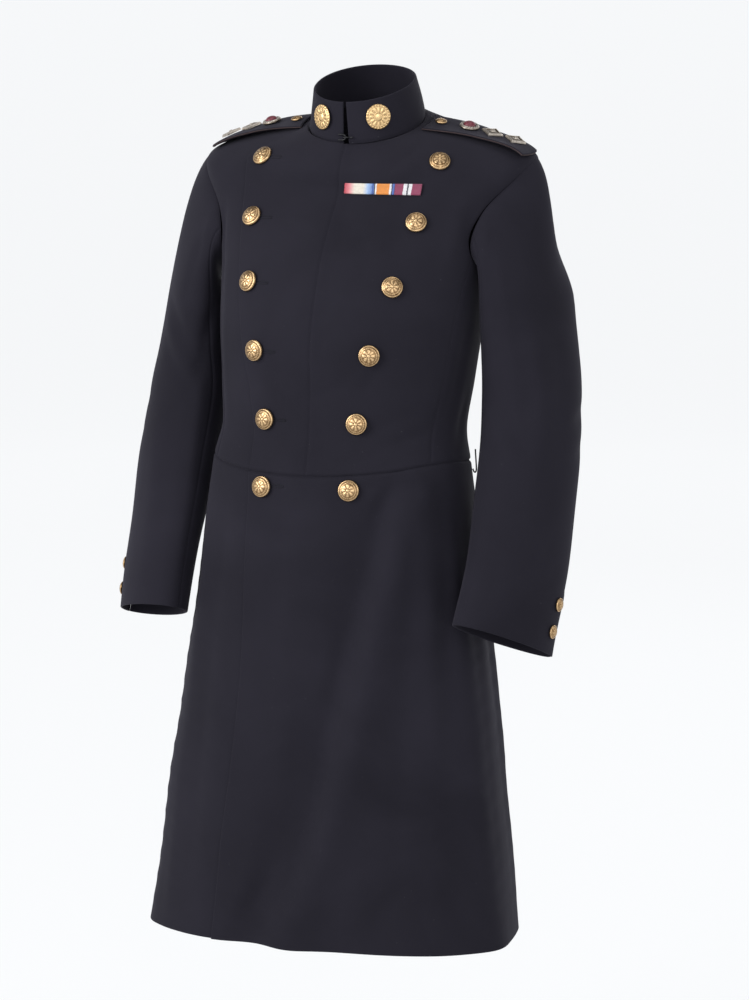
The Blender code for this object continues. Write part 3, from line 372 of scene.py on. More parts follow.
# Studs: shares of the radius where they have rings of points, steps round them, and how high the foot is.
BUTTON_SHARES = (
    0, 0.06, 0.12, 0.15, 0.18, 0.22, 0.28, 0.34, 0.40, 0.46, 0.52, 0.56, 0.60,
    0.64, 0.68, 0.70, 0.73, 0.76, 0.79, 0.84, 0.88, 0.91, 0.93, 0.95, 0.98, 1.0,
)
FITTING_SHARES = np.linspace(0, 1, 22)
BADGE_SHARES = np.concatenate((np.linspace(0, 0.86, 34), (0.88, 0.90, 0.92, 0.95, 0.98, 1.0)))
Stud = namedtuple("Stud", "shares steps foot")
FRONT_STUD = Stud(BUTTON_SHARES, 72, 0.10)
SMALL_STUD = Stud(BUTTON_SHARES, 48, 0.10)
BOSS_STUD = Stud(FITTING_SHARES, 80, 0.03)
DOME_STUD = Stud(FITTING_SHARES, 64, 0.02)
BADGE_STUD = Stud(BADGE_SHARES, 120, 0.02)
# Under a stud, in shares of its radius: the height of its side, then where its back and its shank begin.
STUD_SIDE = 0.06
STUD_BACK = 0.94
STUD_SHANK = 0.28
# How relief becomes the metal's mask of raised places.
RAISED_GAIN = 22
RAISED_LEVEL = 0.5

# Relief of the studs, in shares of the radius. A ridge is a ring, wavy where it has lobes.
Dome = namedtuple("Dome", "low rise blunt")
Ridge = namedtuple("Ridge", "at width height lobes least")
Rays = namedtuple("Rays", "count height start start_over end end_over")
BUTTON_DOME = Dome(0.18, 0.42, 0.6)
BUTTON_PETALS = Rays(8, 0.026, 0.17, 0.06, 0.62, 0.08)
BUTTON_BOSS = (0.04, 0.15, 0.05)
BUTTON_RIDGES = (Ridge(0.73, 0.045, 0.028, 24, 0.55), Ridge(0.93, 0.035, 0.035, 0, 0.5))
CRIMSON_DOME = Dome(0.10, 0.62, 0.5)
CRIMSON_RIBS = 4
CRIMSON_RIB_DEPTH = 0.03
CRIMSON_RIB_BLUNT = 0.5
CRIMSON_RIB_FROM = 0.3
CRIMSON_RIB_RIM = 0.15
BADGE_DOME = Dome(0.10, 0.11, 0.5)
BADGE_BOSS = Dome(0.0, 0.075, 0.5)
BADGE_BOSS_SHARE = 0.30
BADGE_RAYS = Rays(12, 0.035, 0.40, 0.05, 0.74, 0.05)
BADGE_RIDGES = (
    Ridge(0.37, 0.03, 0.032, 0, 0.5), Ridge(0.76, 0.035, 0.03, 0, 0.5), Ridge(0.90, 0.06, 0.04, 24, 0.5),
)
# The boss's seat and ring as shares of its height, where each begins, its falling rim, and the rope round it.
BOSS_SEAT = 0.5
BOSS_RING = 0.42
BOSS_RING_FROM = 0.02
BOSS_RING_OVER = 0.05
BOSS_RIM_DROP = 0.14
BOSS_RIM = 0.86
BOSS_ROPE = Ridge(0.82, 0.09, 0.035, 20, 0.5)
BOSS_ROPE_SLANT = 14

# The lozenge: its profile as shares of radius and height, and how concave it is and from where.
LOZENGE_PROFILE = (
    (0.0, 1.0), (0.10, 0.98), (0.16, 0.90), (0.20, 0.66), (0.26, 0.62), (0.60, 0.50),
    (0.66, 0.52), (0.72, 0.72), (0.80, 0.70), (0.88, 0.66), (0.94, 0.50), (1.0, 0.16),
)
LOZENGE_STEPS = 48
LOZENGE_CONCAVE = 0.88
LOZENGE_ROUND_TO = 0.3
LOZENGE_RAISED = 0.7
LOZENGE_HOLLOW = 0.1
LOZENGE_HOLLOW_ROWS = (4, 6)
LOZENGE_SHARP = math.radians(50)

# The ribbons: colours, and for each where along its width they start and whether they run into each other.
RED = (0.36, 0.012, 0.035)
PINK = (0.60, 0.17, 0.20)
CREAM = (0.62, 0.58, 0.50)
PALE_BLUE = (0.27, 0.40, 0.62)
BLUE = (0.045, 0.11, 0.36)
WHITE = (0.60, 0.60, 0.62)
ORANGE = (0.60, 0.20, 0.02)
DARK = (0.02, 0.02, 0.04)
CLARET = (0.19, 0.012, 0.06)
RIBBON_STRIPES = (
    (((0.0, RED), (0.16, PINK), (0.36, CREAM), (0.66, CREAM), (0.82, PALE_BLUE), (1.0, BLUE)), True),
    (
        ((0.0, BLUE), (0.05, DARK), (0.10, WHITE), (0.17, ORANGE), (0.76, WHITE), (0.85, DARK), (0.90, BLUE)),
        False,
    ),
    (((0.0, CLARET), (0.32, WHITE), (0.46, DARK), (0.51, WHITE), (0.64, CLARET)), False),
)

# Finishes. A grain is its scale, its detail and sometimes its distortion; a bump its strength and distance.
WOOL_TONES = ((0.0095, 0.0088, 0.0135), (0.0150, 0.0140, 0.0205))
THREAD_TONES = ((0.008, 0.008, 0.011), (0.016, 0.016, 0.021))
WOOL_RIB = 0.0011
WOOL_BUMP = 0.00018
THREAD_RIB = 0.0006
THREAD_BUMP = 0.0001
WOOL_NAP = 0.55
WOOL_SPECULAR = 0.08
WOOL_SHEEN = (0.06, 0.45, (0.62, 0.60, 0.74, 1.0))
WOOL_BUMP_STRENGTH = 0.6
CLOUDS_SEEN = (0.32, 0.68)
CLOUDS_ROUGHEN = (0.3, 0.7, 0.78, 0.90)
LINT_COLOUR = (0.20, 0.20, 0.22)
LINT_STRENGTH = 0.25
LINT_SEEN = (0.80, 0.84)
RIB_SLANT = 0.7
RIB_HEIGHT = 0.16
FIBRE_GRAIN = (1400.0, 3.0)
FELT_GRAIN = (260.0, 4.0)
CLOUD_GRAIN = (7.0, 5.0, 0.4)
LINT_GRAIN = (520.0, 1.0)
# Each metal: bright and dark colour, how tarnished and how rough.
WORN_GILT = ((0.66, 0.46, 0.25), (0.13, 0.07, 0.03), 0.90, 0.36)
BRIGHT_GILT = ((0.72, 0.51, 0.26), (0.24, 0.14, 0.06), 0.75, 0.36)
TARNISHED_GILT = ((0.66, 0.61, 0.55), (0.15, 0.12, 0.09), 0.85, 0.40)
TARNISH_GRAIN = (380.0, 4.0, 0.6)
SCRATCH_GRAIN = (2600.0, 2.0)
TARNISH_BLOTCHES = 0.6
TARNISH_HOLLOWS = 0.9
TARNISH_SEEN = (0.22, 0.75)
SCRATCHES_SEEN = (0.6, 1.4)
METAL_ROUGHNESS = (0.75, 1.4)
METAL_BUMP = (0.25, 0.00006)
# Each plain finish: its two colours and how rough it is.
CRIMSON_ENAMEL = ((0.13, 0.014, 0.026), (0.08, 0.008, 0.016), 0.5)
MADDER_PIPING = ((0.030, 0.013, 0.013), (0.020, 0.009, 0.009), 0.8)
BLACKENED_WIRE = ((0.012, 0.012, 0.014), (0.03, 0.03, 0.033), 0.4)
ENAMEL_COAT = 0.15
WIRE_METALLIC = 0.8
PLAIN_GRAIN = (600.0, 3.0)
PLAIN_SEEN = (0.35, 0.65)
GRAIN_RANGE = (0.3, 0.7)
PLAIN_ROUGHNESS = (0.85, 1.15)
PLAIN_BUMP = (0.3, 0.00008)
SILK_GRAIN = (420.0, 3.0)
SILK_WOBBLE = (-0.012, 0.012)
SILK_SHADE = (0.0, 0.22)
SILK_SHADE_COLOUR = (0.12, 0.10, 0.10)
SILK_RIBS = 22
SILK_ROUGHNESS = 0.55
SILK_SHEEN = 0.15
SILK_BUMP = (0.5, 0.00012)

# The camera: turned towards the wearer's left, tipped down, with its focal length in pixels of the photo.
CAMERA_TURN = 21.0
CAMERA_PITCH = 11.0
CAMERA_AWAY = 3.0
CAMERA_ASIDE = 0.0078
CAMERA_HEIGHT = 0.125
CAMERA_FOCUS = 2550.0
PHOTO_HEIGHT = 1000
SENSOR_HEIGHT = 36.0
SEEN_AS_FAR_AS = 50.0
FLOOR_HEIGHT = -1.35
FLOOR_RADIUS = 7.0
FLOOR_SWEEP = 1.5
FLOOR_SIDES = 72
FLOOR_RINGS = (0.2, 0.4, 0.7, 0.9, 1.0)
FLOOR_SWEEP_STEPS = 9
FLOOR_COLOUR = (0.10, 0.102, 0.105, 1.0)
FLOOR_ROUGHNESS = 0.9
FLOOR_GLOW_COLOUR = (0.975, 0.987, 1.0, 1.0)
WALL_TOP = 4.5
FLOOR_GLOW = 0.85
WORLD_LIGHT = 0.12
WORLD_COLOUR = (0.93, 0.95, 1.0, 1.0)
LIGHTS_AIM = (0.0, -0.05, -0.45)
# Lights: distance to the right of the view, distance beyond the coat, height, size and power.
LIGHTS = (
    ("key", -2.4, -1.6, 0.9, (1.6, 2.2), 80.0),
    ("front", 0.6, -3.2, 0.8, (2.4, 2.0), 34.0),
    ("side", 2.6, -0.6, 0.6, (1.2, 2.4), 8.0),
    ("top", 0.0, -0.4, 2.6, (2.6, 2.2), 32.0),
    ("back", 0.9, 2.8, 0.8, (2.6, 2.4), 16.0),
)


def unit(vectors):
    return vectors / np.linalg.norm(vectors, axis=-1, keepdims=True)


def through(values, t):
    """Smooth curve through equally spaced values, at each t."""
    values = np.asarray(values, dtype=float)
    last = len(values) - 1
    i = np.clip(np.floor(t).astype(int), 0, last - 1)
    f = t - i
    here = values[i]
    after = values[i + 1]
    before = np.where(i > 0, values[np.maximum(i - 1, 0)], 2 * here - after)
    beyond = np.where(i + 2 <= last, values[np.minimum(i + 2, last)], 2 * after - here)
    return (
        (2 * f**3 - 3 * f**2 + 1) * here
        + (f**3 - 2 * f**2 + f) * (after - before) / 2
        + (3 * f**2 - 2 * f**3) * after
        + (f**3 - f**2) * (beyond - here) / 2
    )


def ring_surface(rings, angle, level):
    """Points of the cloth's outer face at angles round the body and levels along the rings."""
    angle, level = np.broadcast_arrays(np.asarray(angle, float), np.asarray(level, float))
    half_width, y_side, front, back, z_front, z_side, z_back, square = (
        through(rings[:, k], level) for k in range(8)
    )
    c = np.cos(angle)
    s = np.sin(angle)
    reach = (np.abs(c) ** square + np.abs(s) ** square) ** (-1 / square)
    depth = np.where(c > 0, front, back)
    tilt = (z_front - z_back) / 2
    bow = (z_front + z_back) / 2 - z_side
    return np.stack(
        (half_width * reach * s, y_side - depth * reach * c, z_side + tilt * c + bow * c * c), axis=-1
    )


def soft_step(value):
    value = np.clip(value, 0.0, 1.0)
    return value * value * (3 - 2 * value)


def waist_rise(angle, level):
    """How much higher than its ring the cloth is near the waist seam."""
    angle = (angle + math.pi) % (2 * math.pi) - math.pi
    s = np.sin(angle)
    kept = soft_step((WAIST_FALLS_FROM - np.abs(angle)) / WAIST_FALLS_OVER)
    return (WAIST_BOW * s * s + WAIST_LEAN * s) * kept * np.maximum(0.0, 1 - level / WAIST_RISE_LEVELS) ** 2


def body_surface(angle, level):
    angle, level = np.broadcast_arrays(np.asarray(angle, float), np.asarray(level, float))
    points = ring_surface(BODY_RINGS, angle, level)
    points[..., 2] += waist_rise(angle, level)
    return points


def collar_surface(angle, level):
    return ring_surface(COLLAR_RINGS, angle, level)


def bump(angle, middle, half):
    """1 at the middle angle, falling smoothly to 0 on both sides."""
    off = (angle - middle + math.pi) % (2 * math.pi) - math.pi
    return np.exp(-((off / half) ** 2))


def skirt_fold(angle, level):
    """How far the skirt's main folds move the cloth out, growing from nothing at the waist seam."""
    grown = level / HEM
    middle = FOLD_TOP + (FOLD_BOTTOM - FOLD_TOP) * grown
    ridge = bump(angle, middle + RIDGE_OFF_TROUGH * FOLD_HALF_ANGLE, FOLD_HALF_ANGLE)
    trough = bump(angle, middle, FOLD_HALF_ANGLE)
    side = sum(bump(angle, fold, SIDE_FOLD_HALF_ANGLE) for fold in SIDE_FOLDS)
    main_depth = FOLD_DEPTH * soft_step(grown * FOLD_GROWTH)
    side_depth = SIDE_FOLD_DEPTH * soft_step(grown * SIDE_FOLD_GROWTH)
    return main_depth * (ridge - trough) + side_depth * side


def skirt_surface(angle, level):
    angle, level = np.broadcast_arrays(np.asarray(angle, float), np.asarray(level, float))
    points = ring_surface(SKIRT_RINGS, angle, level)
    fold = skirt_fold(angle, level)
    higher = HEM_HIGHER_AT_LEFT * np.sin(angle) * (level / HEM) ** 2 + waist_rise(angle, level)
    return points + np.stack((np.sin(angle) * fold, -np.cos(angle) * fold, higher), axis=-1)


def armhole(degrees):
    """Angle and level of the armhole's edge: 0 degrees is its front, 90 its top, 180 its back."""
    t = np.radians(degrees)
    return ARMHOLE_ANGLE - ARMHOLE_HALF_ANGLE * np.cos(t), ARMHOLE_MIDDLE + ARMHOLE_HALF_LEVEL * np.sin(t)


def sleeve_axis(level, side):
    x, y, z = (through(SLEEVE_SECTIONS[:, k], level) for k in range(3))
    return np.stack((x * side + through(SLEEVE_SWINGS[side], level), y, z), axis=-1)


def sleeve_section_surface(degrees, level, side):
    """Points of the sleeve's outer face below the cap."""
    centre = sleeve_axis(level, side)
    down = unit(sleeve_axis(level + AXIS_STEP, side) - sleeve_axis(level - AXIS_STEP, side))
    half_long, half_short, turn = (through(SLEEVE_SECTIONS[:, k], level) for k in range(3, 6))
    turn = np.radians(turn)
    back_out = np.stack((np.sin(turn) * side, np.cos(turn), 0 * turn), axis=-1)
    back_out = unit(back_out - down * np.sum(back_out * down, axis=-1, keepdims=True))
    across = np.cross(down, back_out) * side
    t = np.radians(degrees)
    raised, tipped = CUFF_HEMS[side]
    lift = (raised + tipped * np.cos(t)) * (level / CUFF) ** HEM_LIFT_POWER
    points = centre - back_out * (half_long * np.cos(t))[..., None]
    points = points + across * (half_short * np.sin(t))[..., None]
    points[..., 2] += lift
    return points


def cap_surface(degrees, share, side):
    """Points of the sleeve cap, from the armhole's edge at 0 to the first full section at 1."""
    angle, level = armhole(degrees)
    angle = angle * side
    start = body_surface(angle, level)
    end = sleeve_section_surface(degrees, 0 * share, side)
    lower = sleeve_section_surface(degrees, 0 * share + CAP_ARRIVAL, side)
    over_shoulder = unit(body_surface(angle, level - DELTA) - start)
    rise = np.maximum(0.0, np.sin(np.radians(degrees)))[..., None]
    leave = outward(body_surface, angle, level) * (1 - CAP_TURN * rise**CAP_TURN_POWER) + over_shoulder * rise
    leave = leave + np.array((0.0, 0.0, -1.0)) * (1 - rise) * CAP_DROP
    span = np.linalg.norm(end - start, axis=-1, keepdims=True)
    leave = unit(leave) * span * CAP_START
    arrive = unit(lower - end) * span * CAP_END
    f = share[..., None]
    return (
        start * (2 * f**3 - 3 * f**2 + 1)
        + leave * (f**3 - 2 * f**2 + f)
        + end * (3 * f**2 - 2 * f**3)
        + arrive * (f**3 - f**2)
    )


def sleeve_surface(side):
    """Surface of one sleeve: degrees round it, travel from -1 at the armhole to the cuff."""
    def points(degrees, travel):
        degrees, travel = np.broadcast_arrays(np.asarray(degrees, float), np.asarray(travel, float))
        cap = cap_surface(degrees, np.clip(travel + 1, 0, 1), side)
        arm = sleeve_section_surface(degrees, np.maximum(travel, 0.0), side)
        return np.where((travel < 0)[..., None], cap, arm)
    return points


def outward(surface, angle, level):
    """Unit normals of a ring surface, away from the wearer, whether its levels run up or down."""
    round_way = surface(angle + DELTA, level) - surface(angle - DELTA, level)
    up_way = surface(angle, level + DELTA) - surface(angle, level - DELTA)
    normal = unit(np.cross(round_way, up_way))
    return np.where(up_way[..., 2:] > 0, normal, -normal)


def ring_normals(surface):
    """Directions of a ring wall's thickness: level at the waist seam, where body and skirt meet squarely."""
    def normals(angle, level):
        normal = outward(surface, angle, level)
        normal[..., 2] *= level >= DELTA
        return unit(normal)
    return normals


def sleeve_normals(side):
    surface = sleeve_surface(side)

    def normals(degrees, travel):
        before = np.maximum(-1.0, travel - TRAVEL_STEP)
        along = surface(degrees, travel + TRAVEL_STEP) - surface(degrees, before)
        round_way = surface(degrees + TURN_STEP, travel) - surface(degrees - TURN_STEP, travel)
        normal = unit(np.cross(round_way, along))
        outside = surface(degrees, travel) - surface(degrees + 180, travel)
        facing = np.sum(normal * outside, axis=-1, keepdims=True)
        return np.where(facing > 0, normal, -normal)
    return normals


BODY_NORMALS = ring_normals(body_surface)
SKIRT_NORMALS = ring_normals(skirt_surface)
COLLAR_NORMALS = ring_normals(collar_surface)


def left_layer(angle):
    """How far the left front stands out where it laps over the right one."""
    return LAP_STEP * (1 - soft_step((angle + LAP_BLEND) / (2 * LAP_BLEND)))


def right_layer(angle):
    return left_layer(angle) - LAP_STEP


def no_layer(angle):
    return 0 * angle


def find(surface, x, z, angle, level):
    """Angles and levels where the surface has these x and z."""
    for _ in range(FIND_STEPS):
        here = surface(angle, level)
        by_angle = (surface(angle + DELTA, level) - here) / DELTA
        by_level = (surface(angle, level + DELTA) - here) / DELTA
        off_x = x - here[..., 0]
        off_z = z - here[..., 2]
        size = by_angle[..., 0] * by_level[..., 2] - by_level[..., 0] * by_angle[..., 2]
        angle = angle + (off_x * by_level[..., 2] - by_level[..., 0] * off_z) / size
        level = level + (by_angle[..., 0] * off_z - off_x * by_angle[..., 2]) / size
    return angle, level


def angle_at_x(surface, x, level):
    """Angles on the front half of rings where they are x away from the middle."""
    low = 0 * level
    high = low + math.pi / 2
    for _ in range(EDGE_HALVINGS):
        middle = (low + high) / 2
        inside = surface(middle, level)[..., 0] < x
        low = np.where(inside, middle, low)
        high = np.where(inside, high, middle)
    return low


def crease_lines(surface, creases):
    """Each crease as a dense line of points on the surface, with its depth and half width."""
    lines = []
    for crease in creases:
        points = np.array(crease.points, dtype=float)
        t = np.linspace(0, len(points) - 1, CREASE_STEPS * len(points))
        line = surface(through(points[:, 0], t), through(points[:, 1], t))
        lines.append((line, crease.depth, crease.width))
    return lines


BODY_LINES = crease_lines(body_surface, BODY_CREASES)
SKIRT_LINES = crease_lines(skirt_surface, SKIRT_CREASES)
SLEEVE_LINES = {
    1: crease_lines(sleeve_surface(1), LEFT_SLEEVE_CREASES),
    -1: crease_lines(sleeve_surface(-1), RIGHT_SLEEVE_CREASES),
}


def relief(points, lines):
    """Height of the creases and the cloth's slight unevenness at each point."""
    height = sum(size * np.sin(points @ np.array(waves) + phase) for waves, phase, size in UNEVEN_WAVES)
    for line, depth, width in lines:
        low = line.min(axis=0) - CREASE_REACH * width
        high = line.max(axis=0) + CREASE_REACH * width
        near = np.all((points > low) & (points < high), axis=-1)
        if not near.any():
            continue
        off = np.linalg.norm(points[near][:, None, :] - line[None, :, :], axis=-1)
        closest = off.argmin(axis=1)
        share = closest / (len(line) - 1)
        ends = np.sin(math.pi * (CREASE_END + CREASE_RUN * share)) ** CREASE_FADE
        wander = 1 + CREASE_WANDER * np.sin(CREASE_WAVES * share + CREASE_SHIFT * depth / width)
        height[near] += depth * ends * wander * np.exp(-((off.min(axis=1) / width) ** 2))
    return height


def run_lengths(points, axis):
    """Distance of each grid point from both ends of its row or column."""
    steps = np.linalg.norm(np.diff(points, axis=axis), axis=-1)
    pad = [(0, 0), (0, 0)]
    pad[axis] = (1, 0)
    run = np.cumsum(np.pad(steps, pad), axis=axis)
    total = run.take([-1], axis=axis)
    return run, total - run


def edge_shape(distance, free, seam):
    """How far the outer and the inner face draw in near an edge: rounded if free, a groove at a seam."""
    d = np.clip(distance, 0, EDGE_ROUND)
    rounded = EDGE_ROUND - np.sqrt(EDGE_ROUND**2 - (EDGE_ROUND - d) ** 2)
    groove = seam * SEAM_DEPTH * np.exp(-((distance / SEAM_HALF_WIDTH) ** 2))
    return free * rounded + (1 - free) * groove, free * rounded


def shell_mesh(name, outer, inner, runs):
    """Closed thin shell between two grids, with a UV map in metres along the cloth."""
    rows, columns = outer.shape[:2]
    count = rows * columns
    index = np.arange(count).reshape(rows, columns)
    a, b, c, d = index[:-1, :-1], index[:-1, 1:], index[1:, 1:], index[1:, :-1]
    out_faces = np.stack((a, b, c, d), axis=-1).reshape(-1, 4)
    in_faces = np.stack((a, d, c, b), axis=-1).reshape(-1, 4) + count
    rim = np.concatenate((index[0, :], index[1:, -1], index[-1, -2::-1], index[-2:0:-1, 0]))
    after = np.roll(rim, -1)
    rim_faces = np.stack((after, rim, rim + count, after + count), axis=-1)
    faces = np.concatenate((out_faces, in_faces, rim_faces))
    points = np.concatenate((outer.reshape(-1, 3), inner.reshape(-1, 3)))
    outwards = (outer - inner)[0, 0]
    across = np.cross(outer[0, 1] - outer[0, 0], outer[1, 0] - outer[0, 0])
    if np.dot(across, outwards) < 0:
        faces = faces[:, ::-1]
    mesh = bpy.data.meshes.new(name)
    mesh.from_pydata(points.tolist(), [], faces.tolist())
    uvs = np.concatenate((runs.reshape(-1, 2), runs.reshape(-1, 2)))
    layer = mesh.uv_layers.new(name="UVMap")
    loops = np.empty(len(mesh.loops), dtype=np.int64)
    mesh.loops.foreach_get("vertex_index", loops)
    layer.data.foreach_set("uv", uvs[loops].astype(np.float32).ravel())
    mesh.shade_smooth()
    return mesh


def add_to_scene(item):
    bpy.context.scene.collection.objects.link(item)
    return item


def place_piece(name, mesh, material, replaced=()):
    """Adds a mesh as a piece that rides on the coat and stands for its nodes of the frame."""
    piece = add_to_scene(bpy.data.objects.new(name, mesh))
    mesh.materials.append(material)
    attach(piece, "root")
    if replaced:
        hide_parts(*replaced)
    return piece


def cloth_panel(
    node, surface, normals, us, vs, lines, material, layer=no_layer, thick=CLOTH, free=(0, 0, 0, 0),
    seams=(1, 1, 1, 1), tuck=0.0,
):
    """Thin shell of one panel over its node. free is 1 at a free edge and 0 at a seam, and seams is how deep
    each seam is, for the first and last column and row. tuck lowers the foot of the inner face."""
    us, vs = np.broadcast_arrays(us, vs)
    base = surface(us, vs)
    out = normals(us, vs)
    lift = layer(us)
    run_u, left_u = run_lengths(base, 1)
    run_v, left_v = run_lengths(base, 0)
    height = lift + relief(base.reshape(-1, 3), lines).reshape(lift.shape)
    outer_in = np.zeros_like(height)
    inner_in = np.zeros_like(height)
    for distance, weight, seam in zip((run_u, left_u, run_v, left_v), free, seams):
        outer_edge, inner_edge = edge_shape(distance, weight, seam)
        outer_in = np.maximum(outer_in, outer_edge)
        inner_in = np.maximum(inner_in, inner_edge)
    outer = base + out * (height - outer_in)[..., None]
    inner = base + out * (height - thick + inner_in)[..., None]
    for grid in (outer, inner):
        grid[:, 0] -= unit(grid[:, 1] - grid[:, 0]) * SEWN_OVERLAP
        grid[:, -1] -= unit(grid[:, -2] - grid[:, -1]) * SEWN_OVERLAP
        grid[0] -= unit(grid[1] - grid[0]) * SEWN_OVERLAP
        grid[-1] -= unit(grid[-2] - grid[-1]) * SEWN_OVERLAP
    inner[0, :, 2] -= tuck
    mesh = shell_mesh(node, outer, inner, np.stack((run_u, run_v), axis=-1))
    return place_piece(f"{node}_cloth", mesh, material, [node])


def spaced(length):
    """Shares from 0 to 1 along this length, close together near both ends."""
    close = EDGE_STEPS / length
    steps = max(2, round(length / GRID_STEP))
    middle = np.linspace(0, 1, steps + 1)[1:-1]
    middle = middle[(middle > close[-1] * MIDDLE_STARTS) & (middle < 1 - close[-1] * MIDDLE_STARTS)]
    return np.concatenate((close, middle, (1 - close)[::-1]))


def side_edge(seam_at_waist, seam_at_armhole):
    """Fine side edge of a forepart or back: up the side seam, the armhole and the shoulder seam."""
    low = spaced(SIDE_SEAM_LENGTH)
    seam_angle, seam_level = armhole(seam_at_armhole)
    angles = [seam_at_waist + (seam_angle - seam_at_waist) * low]
    levels = [seam_level * low]
    hole_angle, hole_level = armhole(np.linspace(seam_at_armhole, 90, ARMHOLE_STEPS)[1:])
    shoulder = spaced(SHOULDER_SEAM_LENGTH)[len(EDGE_STEPS):]
    shoulder = np.unique(np.append(shoulder, SHOULDER_SEAM_EXTRA))
    angles += [hole_angle, ARMHOLE_ANGLE + 0 * shoulder]
    levels += [hole_level, SHOULDER_TIP + (NECK_SEAM - SHOULDER_TIP) * shoulder]
    return np.concatenate(angles), np.concatenate(levels)


def lapel_edge(levels):
    """Angle of the lapel's outer edge at each level."""
    return angle_at_x(body_surface, np.interp(levels, LAPEL_LEVELS, LAPEL_WIDTHS), levels)


def soft_seam(level):
    """Depth of the armhole seam: full low down, faint over the shoulder."""
    return 1 - (1 - SHOULDER_SEAM_SOFT) * soft_step((level - SOFT_FROM) / (SOFT_BY - SOFT_FROM))


def mirrored_panels(
    stem, surface, normals, angles, levels, lines, wool, layers=(no_layer, no_layer), free=(0, 0, 0, 0),
    seams=(1, 1, 1, 1),
):
    """The left panel of a pair and its mirror image on the right, each with its own layer."""
    for (word, sign), layer in zip(SIDES, layers):
        node = f"{stem}_{word}"
        piece = cloth_panel(
            node, surface, normals, sign * angles, levels, lines, wool, layer, free=free, seams=seams
        )


def body_panels(stem, angles, levels, wool, **words):
    """A mirrored pair of panels above the waist seam."""
    mirrored_panels(stem, body_surface, BODY_NORMALS, angles, levels, BODY_LINES, wool, **words)


def foreparts_and_lapels(wool):
    """Chest fronts and lapels: the left lapel lies over the right forepart, the right one under the left."""
    side, level = side_edge(SIDE_SEAM_AT_WAIST, SIDE_SEAM_AT_ARMHOLE)
    layers = (left_layer, right_layer)
    body_panels(
        "forepart", side[:, None] * spaced(FOREPART_WIDTH), level[:, None], wool, layers=layers,
        seams=(1, soft_seam(level)[:, None], WAIST_SEAM_DEEP, 1),
    )
    low_level = level.copy()
    low_level[-1] -= LAPEL_BELOW_COLLAR
    low_level[-2] = min(low_level[-2], low_level[-1] - LAPEL_LAST_STEP)
    keep = np.concatenate((np.diff(low_level) > SAME_LEVEL, [True]))
    level = low_level[keep]
    body_panels(
        "lapel", -lapel_edge(level)[:, None] * spaced(LAPEL_WIDTH), level[:, None], wool, layers=layers,
        free=(0, 1, 0, 1), seams=(1, 1, WAIST_SEAM_DEEP, 1),
    )


def side_bodies(wool):
    """Panels under the arms, whose tops are the lower edge of the armhole."""
    share = spaced(SIDE_BODY_WIDTH)
    tops_angle, tops_level = armhole(SIDE_SEAM_AT_ARMHOLE - 90 * share)
    feet = SIDE_SEAM_AT_WAIST + (BACK_SEAM_AT_WAIST - SIDE_SEAM_AT_WAIST) * share
    up = spaced(SIDE_SEAM_LENGTH)[:, None]
    body_panels(
        "side_body", feet + (tops_angle - feet) * up, tops_level * up, wool, seams=(1, 1, WAIST_SEAM_DEEP, 1)
    )


def backs(wool):
    side, level = side_edge(BACK_SEAM_AT_WAIST, BACK_SEAM_AT_ARMHOLE)
    angles = math.pi + (side[:, None] - math.pi) * spaced(BACK_WIDTH)
    seams = (1, soft_seam(level)[:, None], WAIST_SEAM_DEEP, 1)
    body_panels("back", angles, level[:, None], wool, seams=seams)


def skirts(wool):
    """Front skirts from the lapped front edge round the hip, and back skirts from there to the vent."""
    level = HEM * spaced(SKIRT_LENGTH)
    lap = angle_at_x(skirt_surface, through(SKIRT_LAP_WIDTHS, level), level)
    front = -lap[:, None] + (HIP_SEAM + lap)[:, None] * spaced(SKIRT_WIDTH)
    back = HIP_SEAM + (math.pi - VENT_HALF_ANGLE - HIP_SEAM) * spaced(BACK_SKIRT_WIDTH)
    for stem, angles, layers, free in (
        ("skirt", front, (left_layer, right_layer), (1, 0, 0, 1)),
        ("back_skirt", back, (no_layer, no_layer), (0, 1, 0, 1)),
    ):
        mirrored_panels(
            stem, skirt_surface, SKIRT_NORMALS, angles, level[:, None], SKIRT_LINES, wool, layers, free,
            (1, 1, WAIST_SEAM_DEEP, 1),
        )


def collar(wool):
    level = COLLAR_TOP * spaced(COLLAR_HEIGHT)[:, None]
    opening = COLLAR_OPENINGS[0] + (COLLAR_OPENINGS[1] - COLLAR_OPENINGS[0]) * level / COLLAR_TOP
    angles = opening + (2 * math.pi - 2 * opening) * spaced(COLLAR_LENGTH)
    piece = cloth_panel(
        "collar", collar_surface, COLLAR_NORMALS, angles, level, [], wool, free=(1, 1, 0, 1), tuck=COLLAR_TUCK
    )


def near_hind_seam(degrees):
    return soft_step((degrees - VENT_LAP_FROM) / VENT_LAP_OVER)


def sleeves(wool):
    """Top and under sleeves; the hind seam is open and lapped above the hem as a cuff vent."""
    ends = len(EDGE_STEPS)
    cap_travel = -1 + spaced(CAP_LENGTH)[:-ends - 1]
    travel = np.concatenate((cap_travel, CUFF * spaced(SLEEVE_LENGTH)[ends - 1:]))[:, None]
    vent = soft_step((travel - VENT_TOP_TRAVEL) / VENT_OPENS_OVER)

    def lapped(degrees):
        return vent * VENT_LIFT * near_hind_seam(degrees)

    for word, side in SIDES:
        for half, start, end, free, layer in (
            ("top", FORE_SEAM, HIND_SEAM, (0, vent, 0, 1), lapped),
            ("under", HIND_SEAM, FORE_SEAM + 360, (vent, 0, 0, 1), no_layer),
        ):
            degrees = start + (end - start) * spaced(SLEEVE_WIDTH) + 0 * travel
            piece = cloth_panel(
                f"sleeve_{word}_{half}", sleeve_surface(side), sleeve_normals(side), degrees, travel,
                SLEEVE_LINES[side], wool, layer, free=free, seams=(1, 1, soft_seam(armhole(degrees)[1]), 1),
            )


